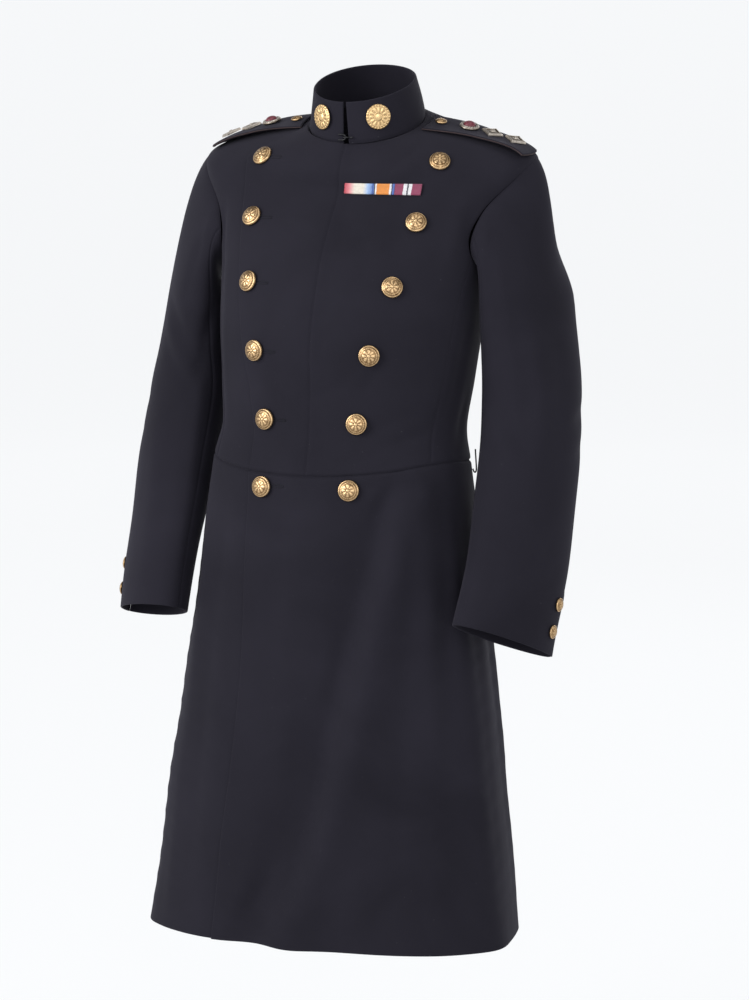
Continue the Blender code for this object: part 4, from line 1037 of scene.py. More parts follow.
def strap_place(along, across, side):
    """Angle and level under a shoulder strap: along runs 0 to 1 inwards, across -1 front to 1 back."""
    outer_level = STRAP_LIES[side].outer_level
    level = outer_level + (STRAP_INNER_LEVEL - outer_level) * along
    half = STRAP_HALF_WIDTHS[0] + (STRAP_HALF_WIDTHS[1] - STRAP_HALF_WIDTHS[0]) * along
    depth = np.where(across < 0, through(BODY_RINGS[:, 2], level), through(BODY_RINGS[:, 3], level))
    return (math.pi / 2 + np.arcsin(across * half / depth)) * side, level


def strap_surface(side):
    """Top of a shoulder strap, which is stiff: its front edge stands off the shoulder at its outer end."""
    lie = STRAP_LIES[side]

    def points(across, along):
        angle, level = strap_place(along, across, side)
        arch = lie.arch * 4 * along * (1 - along)
        stands = lie.front_stands * (1 - along) * np.minimum(0.0, across) ** 2
        lift = STRAP_GAP + STRAP_THICK + arch + stands
        return body_surface(angle, level) + outward(body_surface, angle, level) * lift[..., None]
    return points


def strap_normals(side):
    surface = strap_surface(side)

    def normals(across, along):
        along_way = surface(across, along + DELTA) - surface(across, along - DELTA)
        across_way = surface(across + DELTA, along) - surface(across - DELTA, along)
        normal = unit(np.cross(along_way, across_way))
        return np.where(normal[..., 2:] > 0, normal, -normal)
    return normals


def shoulder_straps(wool, piping):
    """Straps that lie on the shoulders, with a thin piping round their edges."""
    for word, side in SIDES:
        surface = strap_surface(side)
        normals = strap_normals(side)
        along, across = np.meshgrid(spaced(STRAP_LENGTH), 2 * spaced(STRAP_WIDTH) - 1, indexing="ij")
        node = f"shoulder_strap_{word}"
        piece = cloth_panel(
            node, surface, normals, across, along, [], wool, thick=STRAP_THICK, free=(1, 1, 1, 1)
        )
        t = np.linspace(0, 1, PIPING_STEPS)
        along = np.concatenate((t[::-1], 0 * t, t))
        across = np.concatenate((-1 + 0 * t, 2 * t - 1, 1 + 0 * t))
        path = surface(across, along)
        height = relief(path, []) - PIPING_DOWN * STRAP_THICK
        path = path + normals(across, along) * height[:, None]
        tube_piece(f"strap_piping_{word}", path, PIPING_RADIUS, piping)


def tube_mesh(name, path, radius, closed=False):
    """Round tube along a path, with closed ends unless it is a loop."""
    path = np.asarray(path, dtype=float)
    if closed:
        along = unit(np.roll(path, -1, axis=0) - np.roll(path, 1, axis=0))
    else:
        along = unit(np.gradient(path, axis=0))
    side_way = unit(np.cross(along, TUBE_ASKEW))
    up_way = np.cross(along, side_way)
    t = np.linspace(0, 2 * math.pi, TUBE_SIDES, endpoint=False)
    ring = side_way[:, None, :] * np.cos(t)[None, :, None] + up_way[:, None, :] * np.sin(t)[None, :, None]
    points = path[:, None, :] + ring * radius
    count = len(path)
    faces = []
    for i in range(count if closed else count - 1):
        k = (i + 1) % count
        for j in range(TUBE_SIDES):
            n = (j + 1) % TUBE_SIDES
            low = i * TUBE_SIDES
            high = k * TUBE_SIDES
            faces.append((low + j, low + n, high + n, high + j))
    if not closed:
        faces.append(tuple(range(TUBE_SIDES))[::-1])
        faces.append(tuple((count - 1) * TUBE_SIDES + j for j in range(TUBE_SIDES)))
    mesh = bpy.data.meshes.new(name)
    mesh.from_pydata(points.reshape(-1, 3).tolist(), [], faces)
    mesh.shade_smooth()
    return mesh


def tube_piece(name, path, radius, material, replaced=(), closed=False):
    return place_piece(name, tube_mesh(name, path, radius, closed=closed), material, replaced)


def smooth_path(points):
    """Finer path through a few points."""
    points = np.array(points, dtype=float)
    t = np.linspace(0, len(points) - 1, PATH_STEPS * (len(points) - 1) + 1)
    return np.stack([through(points[:, k], t) for k in range(points.shape[1])], axis=-1)


def turned_mesh(name, top, rows, raised):
    """Closed round piece: a fan from its top point, bands between rows of points and a fan to its foot."""
    steps = len(rows[0])
    points = [(0.0, 0.0, top), *(tuple(map(float, point)) for row in rows for point in row), (0.0, 0.0, 0.0)]
    faces = [(0, 1 + j, 1 + (j + 1) % steps) for j in range(steps)]
    for low in range(1, 1 + (len(rows) - 1) * steps, steps):
        high = low + steps
        for j in range(steps):
            n = (j + 1) % steps
            faces.append((low + j, high + j, high + n, low + n))
    last = 1 + (len(rows) - 1) * steps
    faces += [(len(points) - 1, last + (j + 1) % steps, last + j) for j in range(steps)]
    mesh = bpy.data.meshes.new(name)
    mesh.from_pydata(points, [], faces)
    attribute = mesh.attributes.new("raised", "FLOAT", "POINT")
    attribute.data.foreach_set("value", np.asarray(raised, dtype=np.float32))
    mesh.shade_smooth()
    return mesh


def flat_row(shape, height):
    """A row of points at one height, from their distances from the middle."""
    turn = np.linspace(0, 2 * math.pi, len(shape), endpoint=False)
    return list(zip(np.cos(turn) * shape, np.sin(turn) * shape, np.full(len(shape), height)))


def stud_mesh(name, radius, height_at, stud):
    """Round piece: a top with relief out to its rim, a short side and a flat back on a foot."""
    turn = np.linspace(0, 2 * math.pi, stud.steps, endpoint=False)
    r, t = np.meshgrid(np.array(stud.shares[1:], dtype=float), turn, indexing="ij")
    top = height_at(r, t)
    rows = [list(zip(*row)) for row in zip(r * np.cos(t) * radius, r * np.sin(t) * radius, top * radius)]
    for share, height in (
        (1.0, stud.foot + STUD_SIDE), (STUD_BACK, stud.foot), (STUD_SHANK, stud.foot), (STUD_SHANK, 0.0)
    ):
        rows.append(flat_row(np.full(stud.steps, share * radius), height * radius))
    raised = np.zeros(len(rows) * stud.steps + 2)
    raised[0] = 1.0
    over_plain = (top - height_at(r, t, plain=True)).ravel()
    raised[1:1 + top.size] = np.clip(over_plain * RAISED_GAIN + RAISED_LEVEL, 0, 1)
    middle = np.zeros(1)
    return turned_mesh(name, float(height_at(middle, middle)[0]) * radius, rows, raised)


def seat_mesh(mesh, point, normal, up=(0, 0, 1)):
    """Turns a mesh so that its Z runs along the normal, and moves it to the point."""
    z_way = unit(np.asarray(normal, float))
    x_way = unit(np.cross(np.asarray(up, float), z_way))
    y_way = np.cross(z_way, x_way)
    turn = np.stack((x_way, y_way, z_way))
    points = np.empty(len(mesh.vertices) * 3)
    mesh.vertices.foreach_get("co", points)
    points = points.reshape(-1, 3) @ turn + np.asarray(point, float)
    mesh.vertices.foreach_set("co", points.ravel())
    mesh.update()


def dome_relief(r, dome):
    return dome.low + dome.rise * np.clip(1 - r**2, 0, 1) ** dome.blunt


def ridge_relief(r, t, ridge):
    waves = ridge.least + (1 - ridge.least) * np.cos(ridge.lobes * t)
    return ridge.height * np.exp(-(((r - ridge.at) / ridge.width) ** 2)) * waves


def ray_relief(r, t, rays):
    waves = rays.height * (0.5 + 0.5 * np.cos(rays.count * t))
    return waves * soft_step((r - rays.start) / rays.start_over) * soft_step((rays.end - r) / rays.end_over)


def button_height(r, t, plain=False):
    """Domed button as shares of its radius: eight plain petals round a boss, a beaded ring and a rim."""
    dome = dome_relief(r, BUTTON_DOME)
    if plain:
        return dome
    height, share, over = BUTTON_BOSS
    boss = height * soft_step((share - r) / over)
    rings = sum(ridge_relief(r, t, ridge) for ridge in BUTTON_RIDGES)
    return dome + ray_relief(r, t, BUTTON_PETALS) + boss + rings


def button(node, radius, point, normal, gilt, stud=SMALL_STUD):
    mesh = stud_mesh(node, radius, button_height, stud)
    seat_mesh(mesh, point + normal * SEAM_GAP, normal)
    return place_piece(f"{node}_gilt", mesh, gilt, [node])


def front_buttons(gilt, thread):
    """Twelve front buttons, and worked buttonholes on the lapped side that run in from the right column."""
    for number, (x, off_left, z, near_level, sunk) in enumerate(FRONT_BUTTONS, 1):
        on_body = z > BODY_RINGS[0, 5]
        surface = body_surface if on_body else skirt_surface
        lines = BODY_LINES if on_body else SKIRT_LINES
        for word, sign, lift in (("left", 1, 0.0), ("right", -1, LAP_STEP)):
            guess = np.array(BUTTON_GUESS), np.array(near_level)
            angle, level = find(surface, x + sign * off_left, z, *guess)
            normal = outward(surface, sign * angle, level)
            spot = surface(sign * angle, level)
            point = spot + normal * (lift - sunk + relief(spot[None], lines)[0])
            button(f"button_{word}_{number}", BUTTON_RADIUS, point, normal, gilt, FRONT_STUD)
        t = np.linspace(0, 2 * math.pi, BUTTONHOLE_STEPS, endpoint=False)
        half = BUTTONHOLE_LENGTH / 2
        along = np.clip(np.cos(t) * BUTTONHOLE_STRAIGHT, -1, 1) * half
        along = along * (BUTTONHOLE_END + (1 - BUTTONHOLE_END) * np.abs(np.cos(t)))
        hole_x = off_left - x + half + along
        hole_z = z + BUTTONHOLE_HALF_WIDTH * np.sign(np.sin(t)) * np.abs(np.sin(t)) ** BUTTONHOLE_CORNER
        angles, levels = find(surface, hole_x, hole_z, 0 * t - angle, 0 * t + level)
        path = surface(angles, levels)
        out = outward(surface, angles, levels)
        height = left_layer(angles) + relief(path, lines) + BUTTONHOLE_RAISE * BUTTONHOLE_THREAD
        path = path + out * height[:, None]
        tube_piece(f"buttonhole_{number}", path, BUTTONHOLE_THREAD, thread, closed=True)


def cuff_buttons(gilt):
    length = float(np.linalg.norm(sleeve_axis(np.array(CUFF), 1) - sleeve_axis(np.array(CUFF - 1), 1)))
    for word, side in SIDES:
        surface = sleeve_surface(side)
        normals = sleeve_normals(side)
        for count, up in enumerate(CUFF_BUTTONS_UP, 1):
            travel = np.array(CUFF - up / length)
            degrees = np.array(HIND_SEAM - CUFF_BUTTON_OFF_SEAM)
            normal = normals(degrees, travel)
            spot = surface(degrees, travel)
            lift = VENT_LIFT * float(near_hind_seam(degrees))
            point = spot + normal * (relief(spot[None], SLEEVE_LINES[side])[0] + lift)
            button(f"cuff_button_{word}_{count}", CUFF_BUTTON_RADIUS, point, normal, gilt)


def strap_seat(x, side):
    """Point and normal on top of a shoulder strap's middle line, x away from the middle."""
    surface = strap_surface(side)
    low = np.array(0.0)
    high = np.array(1.0)
    for _ in range(STRAP_HALVINGS):
        along = (low + high) / 2
        if abs(surface(0 * along, along)[0]) > x:
            low = along
        else:
            high = along
    spot = surface(0 * along, along)
    normal = strap_normals(side)(0 * along, along)
    return spot + normal * relief(spot[None], [])[0], normal


def boss_height(r, t, plain=False):
    """Shallow ring with a roped edge round a seat for the dome."""
    from_seat = (r - DOME_RADIUS / BOSS_RADIUS - BOSS_RING_FROM) / BOSS_RING_OVER
    ring = BOSS_HEIGHT / BOSS_RADIUS * (BOSS_SEAT + BOSS_RING * soft_step(from_seat))
    ring = ring - BOSS_RIM_DROP * soft_step((r - BOSS_RIM) / (1 - BOSS_RIM))
    if plain:
        return ring
    return ring + ridge_relief(r, t + BOSS_ROPE_SLANT / BOSS_ROPE.lobes * r, BOSS_ROPE)


def dome_height(r, t, plain=False):
    """Low crimson dome, divided like a cushion by faint ribs."""
    dome = dome_relief(r, CRIMSON_DOME)
    if plain:
        return dome
    rib = CRIMSON_RIB_DEPTH * (np.abs(np.cos(CRIMSON_RIBS * t)) ** CRIMSON_RIB_BLUNT - 1)
    return dome + rib * soft_step(r / CRIMSON_RIB_FROM) * soft_step((1 - r) / CRIMSON_RIB_RIM)


def badge_height(r, t, plain=False):
    """Round rosette plate: a boss, twelve rays between two raised rings, and a scalloped rim."""
    plate = dome_relief(r, BADGE_DOME)
    if plain:
        return plate
    boss = dome_relief(r / BADGE_BOSS_SHARE, BADGE_BOSS)
    rings = sum(ridge_relief(r, t, ridge) for ridge in BADGE_RIDGES)
    return plate + boss + ray_relief(r, t, BADGE_RAYS) + rings


def lozenge_mesh(name):
    """Four-sided pip with concave sides, a raised border and a small boss."""
    turn = np.linspace(0, 2 * math.pi, LOZENGE_STEPS, endpoint=False)
    corners = np.abs(np.cos(turn)) ** LOZENGE_CONCAVE + np.abs(np.sin(turn)) ** LOZENGE_CONCAVE
    square = 1 / corners ** (1 / LOZENGE_CONCAVE)
    rows = []
    for share, height in LOZENGE_PROFILE[1:]:
        shape = square if share > LOZENGE_ROUND_TO else square ** (share / LOZENGE_ROUND_TO / 2)
        rows.append(flat_row(LOZENGE_RADIUS * share * shape, height * LOZENGE_HEIGHT))
    rows.append(flat_row(LOZENGE_RADIUS * square, 0.0))
    raised = np.full(len(rows) * LOZENGE_STEPS + 2, LOZENGE_RAISED)
    first, last = LOZENGE_HOLLOW_ROWS
    raised[1 + first * LOZENGE_STEPS:1 + last * LOZENGE_STEPS] = LOZENGE_HOLLOW
    mesh = turned_mesh(name, LOZENGE_HEIGHT, rows, raised)
    mesh.set_sharp_from_angle(angle=LOZENGE_SHARP)
    return mesh


def strap_fittings(gilt, tarnished, crimson):
    """On each strap a small button, a roped boss with a crimson dome, and two plain lozenges."""
    towards_back = (0, 1, 0)
    for word, side in SIDES:
        point, normal = strap_seat(STRAP_BUTTON_X, side)
        point = point + normal * (ORNAMENT_GAP - SEAM_GAP)
        button(f"strap_button_{word}", STRAP_BUTTON_RADIUS, point, normal, gilt)
        point, normal = strap_seat(ORNAMENT_X[0], side)
        node = f"strap_boss_{word}"
        mesh = stud_mesh(node, BOSS_RADIUS, boss_height, BOSS_STUD)
        seat_mesh(mesh, point + normal * ORNAMENT_GAP, normal, towards_back)
        place_piece(f"{node}_metal", mesh, tarnished, [node])
        node = f"strap_dome_{word}"
        mesh = stud_mesh(node, DOME_RADIUS, dome_height, DOME_STUD)
        raised = DOME_SEAT * BOSS_HEIGHT + ORNAMENT_GAP + SEAM_GAP
        seat_mesh(mesh, point + normal * raised, normal, towards_back)
        place_piece(f"{node}_enamel", mesh, crimson, [node])
        for count, x in enumerate(ORNAMENT_X[1:], 1):
            point, normal = strap_seat(x, side)
            node = f"strap_lozenge_{word}_{count}"
            mesh = lozenge_mesh(node)
            seat_mesh(mesh, point + normal * ORNAMENT_GAP, normal, towards_back)
            place_piece(f"{node}_metal", mesh, tarnished, [node])


def badges(gilt):
    for word, side in SIDES:
        node = f"collar_badge_{word}"
        mesh = stud_mesh(node, BADGE_RADIUS, badge_height, BADGE_STUD)
        angle = np.array(BADGE_ANGLES[side] * side)
        level = np.array(BADGE_LEVEL)
        normal = outward(collar_surface, angle, level)
        seat_mesh(mesh, collar_surface(angle, level) + normal * SEAM_GAP, normal)
        place_piece(f"{node}_gilt", mesh, gilt, [node])


def ribbons(finishes):
    """Three lengths of ribbon side by side, each turned over a thin bar at its top and bottom."""
    for number, (start, end) in enumerate(zip(RIBBON_ENDS_X, RIBBON_ENDS_X[1:]), 1):
        along = np.linspace(0, 1, RIBBON_COLUMNS)
        up = np.linspace(0, 1, RIBBON_ROWS)
        x = start + (end - start) * along[None, :] + 0 * up[:, None]
        z = RIBBON_Z - RIBBON_HEIGHT / 2 + RIBBON_HEIGHT * up[:, None] + 0 * x
        angles, levels = find(body_surface, x, z, 0 * x + RIBBON_GUESS[0], 0 * x + RIBBON_GUESS[1])
        base = body_surface(angles, levels)
        out = BODY_NORMALS(angles, levels)
        crown = np.clip(1 - (2 * up - 1) ** RIBBON_SQUARE, 0, 1)[:, None] ** 0.5
        low = LAYER_GAP + left_layer(angles) + relief(base.reshape(-1, 3), BODY_LINES).reshape(x.shape)
        outer = base + out * (low + RIBBON_THICK * (RIBBON_EDGE + RIBBON_CROWN * crown))[..., None]
        inner = base + out * (low + 0 * crown)[..., None]
        gap = np.array((SEAM_GAP / 2, 0, 0))
        for grid in (outer, inner):
            grid[:, 0] += gap
            grid[:, -1] -= gap
        uvs = np.stack(np.broadcast_arrays(along[None, :], up[:, None]), axis=-1)
        node = f"ribbon_{number}"
        mesh = shell_mesh(node, outer, inner, uvs)
        piece = place_piece(f"{node}_silk", mesh, finishes[number - 1], [node])


def collar_fastener(black):
    """Hook and eye across the collar's opening."""
    middle = collar_surface(0.0, FASTENER_LEVEL)
    front = middle[1] - WIRE - SEAM_GAP
    top = middle[2] + FASTENER_HALF_HEIGHT
    low = middle[2] - FASTENER_HALF_HEIGHT
    loop_starts, loop_ends = EYE_LOOP
    eye = [
        (-FASTENER_REACH, front, top), (loop_starts, front, top), (loop_ends, front, middle[2]),
        (loop_starts, front, low), (-FASTENER_REACH, front, low),
    ]
    tube_piece("collar_eye_wire", smooth_path(eye), WIRE, black, ["collar_eye"])
    over = front - 2 * WIRE - SEAM_GAP
    tip, bend, seat = HOOK_BEND
    hook = [
        (tip, over, middle[2]), (bend, over, middle[2]), (seat, front, middle[2]),
        (FASTENER_REACH + HOOK_TAIL, front, middle[2]),
    ]
    tube_piece("collar_hook_wire", smooth_path(hook), WIRE, black, ["collar_hook"])


def belt_hook(black):
    angle = np.array(HOOK_ANGLE)
    root = body_surface(angle, 0.0)
    normal = BODY_NORMALS(angle, np.array(0.0))
    points = [np.array((root[0], root[1], height)) + normal * (off + WIRE) for off, height in HOOK_POINTS]
    tube_piece("belt_hook_wire", smooth_path(points), WIRE, black, ["belt_hook"])


def node_group(name, inputs, outputs):
    """Shader node group with number sockets: its inputs as name and value, its outputs as names."""
    group = bpy.data.node_groups.new(name, "ShaderNodeTree")
    for label, value in inputs.items():
        socket = group.interface.new_socket(label, in_out="INPUT", socket_type="NodeSocketFloat")
        socket.default_value = value
    for label in outputs:
        group.interface.new_socket(label, in_out="OUTPUT", socket_type="NodeSocketFloat")
    return group, group.nodes.new("NodeGroupInput").outputs, group.nodes.new("NodeGroupOutput").inputs


def feed(tree, socket, value):
    """Puts a number or colour into a socket, or links another node's output to it."""
    if isinstance(value, bpy.types.NodeSocket):
        tree.links.new(value, socket)
    elif isinstance(value, tuple) and len(value) == 3:
        socket.default_value = (*value, 1.0)
    else:
        socket.default_value = value


def feed_all(tree, node, **values):
    """Feeds sockets by name, with _ for each space."""
    for label, value in values.items():
        feed(tree, node.inputs[label.replace("_", " ")], value)


def math_node(tree, operation, *values):
    node = tree.nodes.new("ShaderNodeMath")
    node.operation = operation
    for socket, value in zip(node.inputs, values):
        feed(tree, socket, value)
    return node.outputs[0]


def noise_node(tree, vector, scale, detail, distortion=0.0):
    node = tree.nodes.new("ShaderNodeTexNoise")
    feed_all(tree, node, Vector=vector, Scale=scale, Detail=detail, Distortion=distortion)
    return node.outputs["Fac"]


def range_node(tree, value, low, high, to_low=0.0, to_high=1.0):
    node = tree.nodes.new("ShaderNodeMapRange")
    feed_all(tree, node, Value=value, From_Min=low, From_Max=high, To_Min=to_low, To_Max=to_high)
    return node.outputs["Result"]


def mix_node(tree, factor, first, second):
    node = tree.nodes.new("ShaderNodeMix")
    node.data_type = "RGBA"
    feed_all(tree, node, Factor=factor, A=first, B=second)
    return node.outputs["Result"]


def cloth_nap_group():
    """Twill ribs with a felted nap over them, cloudy shade and a few specks of lint."""
    group, given, results = node_group(
        "cloth nap", {"Rib width": WOOL_RIB, "Nap": WOOL_NAP}, ("Height", "Cloud", "Lint")
    )
    coordinates = group.nodes.new("ShaderNodeTexCoord")
    split = group.nodes.new("ShaderNodeSeparateXYZ")
    feed(group, split.inputs[0], coordinates.outputs["UV"])
    slanted = math_node(group, "MULTIPLY_ADD", split.outputs["Y"], RIB_SLANT, split.outputs["X"])
    turns = math_node(group, "DIVIDE", slanted, given["Rib width"])
    rib = math_node(group, "SINE", math_node(group, "MULTIPLY", turns, 2 * math.pi))
    fibre, felt, cloud, speck = (
        noise_node(group, coordinates.outputs["Object"], *grain)
        for grain in (FIBRE_GRAIN, FELT_GRAIN, CLOUD_GRAIN, LINT_GRAIN)
    )
    nap = math_node(group, "MULTIPLY", math_node(group, "ADD", fibre, felt), given["Nap"])
    low_rib = math_node(group, "MULTIPLY", rib, RIB_HEIGHT)
    feed(group, results["Height"], math_node(group, "ADD", nap, low_rib))
    feed(group, results["Cloud"], cloud)
    feed(group, results["Lint"], range_node(group, speck, *LINT_SEEN))
    return group


def patina_group():
    """Worn metal: raised parts stay bright, recesses hold dark tarnish, with fine scratches."""
    group, given, results = node_group(
        "metal patina", {"Raised": 0.5, "Tarnish": 0.4}, ("Dark", "Rough", "Height")
    )
    coordinates = group.nodes.new("ShaderNodeTexCoord")
    blotch, scratch = (
        noise_node(group, coordinates.outputs["Object"], *grain) for grain in (TARNISH_GRAIN, SCRATCH_GRAIN)
    )
    hollow = math_node(group, "SUBTRACT", 1.0, given["Raised"])
    blotches = math_node(group, "MULTIPLY", blotch, TARNISH_BLOTCHES)
    hollows = math_node(group, "MULTIPLY", hollow, TARNISH_HOLLOWS)
    spread = math_node(group, "MULTIPLY", math_node(group, "ADD", blotches, hollows), given["Tarnish"])
    feed(group, results["Dark"], range_node(group, spread, *TARNISH_SEEN))
    rough = math_node(group, "ADD", blotch, scratch)
    feed(group, results["Rough"], range_node(group, rough, *SCRATCHES_SEEN))
    feed(group, results["Height"], scratch)
    return group


def new_material(name):
    material = bpy.data.materials.new(name)
    material.use_nodes = True
    return material, material.node_tree, material.node_tree.nodes["Principled BSDF"]


def add_bump(tree, shader, height, strength, distance):
    bump_node = tree.nodes.new("ShaderNodeBump")
    feed_all(tree, bump_node, Strength=strength, Distance=distance, Height=height)
    feed(tree, shader.inputs["Normal"], bump_node.outputs["Normal"])


def wool_material(name, nap, tones, rib_width, bump_size):
    """Dark napped wool: almost black in the hollows of its nap, greyer where light catches it."""
    material, tree, shader = new_material(name)
    cloth = tree.nodes.new("ShaderNodeGroup")
    cloth.node_tree = nap
    feed_all(tree, cloth, Rib_width=rib_width, Nap=WOOL_NAP)
    tone = mix_node(tree, range_node(tree, cloth.outputs["Cloud"], *CLOUDS_SEEN), *tones)
    lint = math_node(tree, "MULTIPLY", cloth.outputs["Lint"], LINT_STRENGTH)
    sheen, sheen_roughness, sheen_tint = WOOL_SHEEN
    feed_all(
        tree, shader, Base_Color=mix_node(tree, lint, tone, LINT_COLOUR),
        Roughness=range_node(tree, cloth.outputs["Cloud"], *CLOUDS_ROUGHEN), Specular_IOR_Level=WOOL_SPECULAR,
        Sheen_Weight=sheen, Sheen_Roughness=sheen_roughness, Sheen_Tint=sheen_tint,
    )
    add_bump(tree, shader, cloth.outputs["Height"], WOOL_BUMP_STRENGTH, bump_size)
    return material


def metal_material(name, patina, bright, dark, tarnish, roughness):
    material, tree, shader = new_material(name)
    raised = tree.nodes.new("ShaderNodeAttribute")
    raised.attribute_name = "raised"
    wear = tree.nodes.new("ShaderNodeGroup")
    wear.node_tree = patina
    feed_all(tree, wear, Raised=raised.outputs["Fac"], Tarnish=tarnish)
    smooth, rough = (roughness * share for share in METAL_ROUGHNESS)
    feed_all(
        tree, shader, Base_Color=mix_node(tree, wear.outputs["Dark"], bright, dark),
        Roughness=range_node(tree, wear.outputs["Rough"], 0, 1, smooth, rough), Metallic=1.0,
    )
    add_bump(tree, shader, wear.outputs["Height"], *METAL_BUMP)
    return material


def plain_material(name, colour, second, roughness, metallic=0.0, coat=0.0):
    """Small plain finish with a fine mottled grain."""
    material, tree, shader = new_material(name)
    coordinates = tree.nodes.new("ShaderNodeTexCoord")
    grain = noise_node(tree, coordinates.outputs["Object"], *PLAIN_GRAIN)
    smooth, rough = (roughness * share for share in PLAIN_ROUGHNESS)
    feed_all(
        tree, shader, Base_Color=mix_node(tree, range_node(tree, grain, *PLAIN_SEEN), colour, second),
        Roughness=range_node(tree, grain, *GRAIN_RANGE, smooth, rough), Metallic=metallic, Coat_Weight=coat,
    )
    add_bump(tree, shader, grain, *PLAIN_BUMP)
    return material


def ribbon_material(name, stops, watered):
    """Ribbed silk ribbon with stripes across its width; a watered one runs softly from colour to colour."""
    material, tree, shader = new_material(name)
    coordinates = tree.nodes.new("ShaderNodeTexCoord")
    split = tree.nodes.new("ShaderNodeSeparateXYZ")
    feed(tree, split.inputs[0], coordinates.outputs["UV"])
    ramp = tree.nodes.new("ShaderNodeValToRGB")
    ramp.color_ramp.interpolation = "LINEAR" if watered else "CONSTANT"
    while len(ramp.color_ramp.elements) < len(stops):
        ramp.color_ramp.elements.new(0.5)
    for element, (place, colour) in zip(ramp.color_ramp.elements, stops):
        element.position = place
        element.color = (*colour, 1.0)
    grain = noise_node(tree, coordinates.outputs["Object"], *SILK_GRAIN)
    wobble = range_node(tree, grain, *GRAIN_RANGE, *SILK_WOBBLE)
    feed(tree, ramp.inputs["Fac"], math_node(tree, "ADD", split.outputs["X"], wobble))
    shade = range_node(tree, grain, *GRAIN_RANGE, *SILK_SHADE)
    ribs = math_node(tree, "SINE", math_node(tree, "MULTIPLY", split.outputs["Y"], 2 * math.pi * SILK_RIBS))
    feed_all(
        tree, shader, Base_Color=mix_node(tree, shade, ramp.outputs["Color"], SILK_SHADE_COLOUR),
        Roughness=SILK_ROUGHNESS, Sheen_Weight=SILK_SHEEN,
    )
    add_bump(tree, shader, ribs, *SILK_BUMP)
    return material


def studio_floor():
    """Round pale floor that sweeps up far off all round."""
    flat_radius = FLOOR_RADIUS - FLOOR_SWEEP
    profile = [(flat_radius * share, FLOOR_HEIGHT) for share in FLOOR_RINGS]
    for t in np.linspace(0, math.pi / 2, FLOOR_SWEEP_STEPS)[1:]:
        profile.append(
            (flat_radius + FLOOR_SWEEP * math.sin(t), FLOOR_HEIGHT + FLOOR_SWEEP * (1 - math.cos(t)))
        )
    profile.append((FLOOR_RADIUS, WALL_TOP))
    around = [2 * math.pi * k / FLOOR_SIDES for k in range(FLOOR_SIDES)]
    points = [(r * math.cos(a), r * math.sin(a), z) for r, z in profile for a in around]
    faces = [tuple(range(FLOOR_SIDES))]
    for ring in range(len(profile) - 1):
        for k in range(FLOOR_SIDES):
            low = ring * FLOOR_SIDES + k
            beside = ring * FLOOR_SIDES + (k + 1) % FLOOR_SIDES
            faces.append((low, low + FLOOR_SIDES, beside + FLOOR_SIDES, beside))
    mesh = bpy.data.meshes.new("studio_floor")
    mesh.from_pydata(points, [], faces)
    mesh.shade_smooth()
    material, tree, shader = new_material("pale floor")
    feed_all(
        tree, shader, Base_Color=FLOOR_COLOUR, Roughness=FLOOR_ROUGHNESS, Emission_Color=FLOOR_GLOW_COLOUR,
        Emission_Strength=FLOOR_GLOW,
    )
    mesh.materials.append(material)
    add_to_scene(bpy.data.objects.new("studio_floor", mesh))


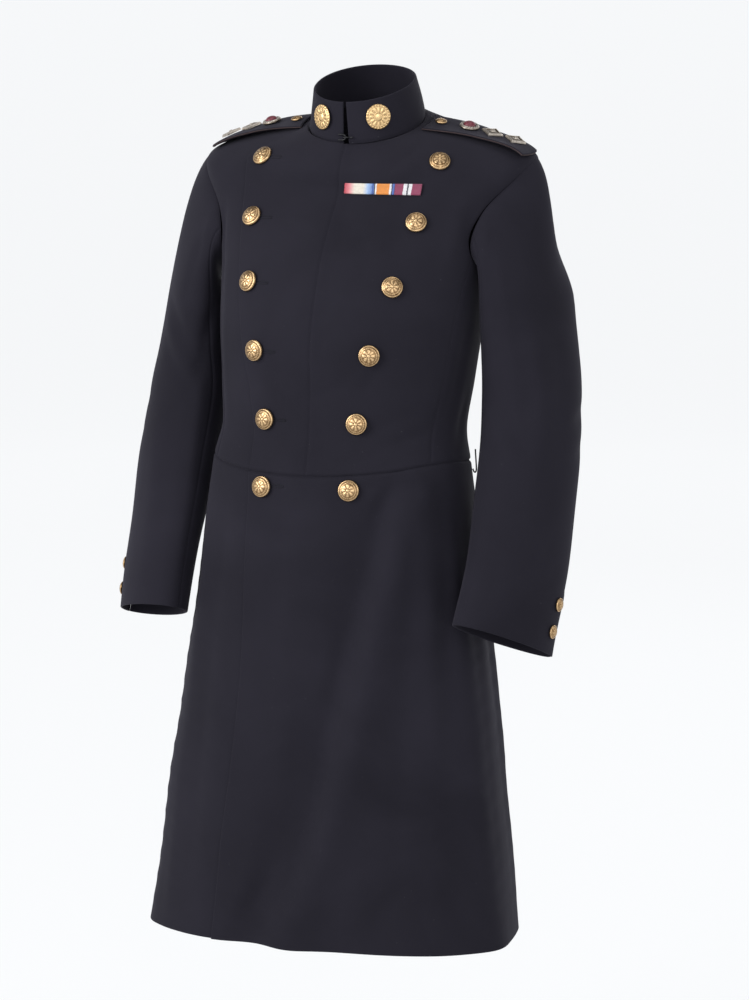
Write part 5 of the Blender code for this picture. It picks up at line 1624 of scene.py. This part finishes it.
def studio():
    """The floor, soft light mostly from the left of the view, and the camera."""
    studio_floor()
    world = bpy.data.worlds.new("studio_air")
    world.use_nodes = True
    feed_all(world.node_tree, world.node_tree.nodes["Background"], Color=WORLD_COLOUR, Strength=WORLD_LIGHT)
    bpy.context.scene.world = world
    turn = math.radians(CAMERA_TURN)
    ahead = np.array((-math.sin(turn), math.cos(turn)))
    across = np.array((math.cos(turn), math.sin(turn)))
    target = Vector(LIGHTS_AIM)
    for name, side, ahead_by, height, size, power in LIGHTS:
        lamp = bpy.data.lights.new(name, "AREA")
        lamp.shape = "RECTANGLE"
        lamp.size, lamp.size_y = size
        lamp.energy = power
        item = add_to_scene(bpy.data.objects.new(name, lamp))
        flat = across * side + ahead * ahead_by
        item.location = (float(flat[0]), float(flat[1]), height)
        item.rotation_euler = (target - item.location).to_track_quat("-Z", "Y").to_euler()
    lens = bpy.data.cameras.new("view")
    lens.sensor_fit = "VERTICAL"
    lens.sensor_height = SENSOR_HEIGHT
    lens.lens = SENSOR_HEIGHT * CAMERA_FOCUS / PHOTO_HEIGHT
    lens.clip_end = SEEN_AS_FAR_AS
    camera = add_to_scene(bpy.data.objects.new("view", lens))
    place = across * CAMERA_ASIDE - ahead * CAMERA_AWAY
    camera.location = (float(place[0]), float(place[1]), CAMERA_HEIGHT)
    camera.rotation_euler = (math.radians(90 - CAMERA_PITCH), 0.0, turn)
    bpy.context.scene.camera = camera
    bpy.context.scene.view_settings.view_transform = "Standard"


def dress():
    nap = cloth_nap_group()
    patina = patina_group()
    wool = wool_material("navy wool", nap, WOOL_TONES, WOOL_RIB, WOOL_BUMP)
    thread = wool_material("buttonhole thread", nap, THREAD_TONES, THREAD_RIB, THREAD_BUMP)
    gilt = metal_material("worn gilt", patina, *WORN_GILT)
    bright_gilt = metal_material("bright gilt", patina, *BRIGHT_GILT)
    tarnished = metal_material("tarnished gilt", patina, *TARNISHED_GILT)
    crimson = plain_material("crimson enamel", *CRIMSON_ENAMEL, coat=ENAMEL_COAT)
    piping = plain_material("madder piping", *MADDER_PIPING)
    black = plain_material("blackened wire", *BLACKENED_WIRE, metallic=WIRE_METALLIC)
    silks = [
        ribbon_material(f"ribbon silk {k}", stops, soft)
        for k, (stops, soft) in enumerate(RIBBON_STRIPES, 1)
    ]
    foreparts_and_lapels(wool)
    side_bodies(wool)
    backs(wool)
    skirts(wool)
    collar(wool)
    sleeves(wool)
    shoulder_straps(wool, piping)
    front_buttons(gilt, thread)
    cuff_buttons(gilt)
    strap_fittings(gilt, tarnished, crimson)
    badges(bright_gilt)
    ribbons(silks)
    collar_fastener(black)
    belt_hook(black)


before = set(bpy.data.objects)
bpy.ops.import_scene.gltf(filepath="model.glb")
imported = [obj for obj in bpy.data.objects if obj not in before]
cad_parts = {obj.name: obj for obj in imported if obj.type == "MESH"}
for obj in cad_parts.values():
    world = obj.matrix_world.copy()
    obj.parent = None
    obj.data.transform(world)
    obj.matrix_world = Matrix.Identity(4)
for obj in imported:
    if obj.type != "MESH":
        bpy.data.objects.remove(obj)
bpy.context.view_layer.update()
studio()
dress()
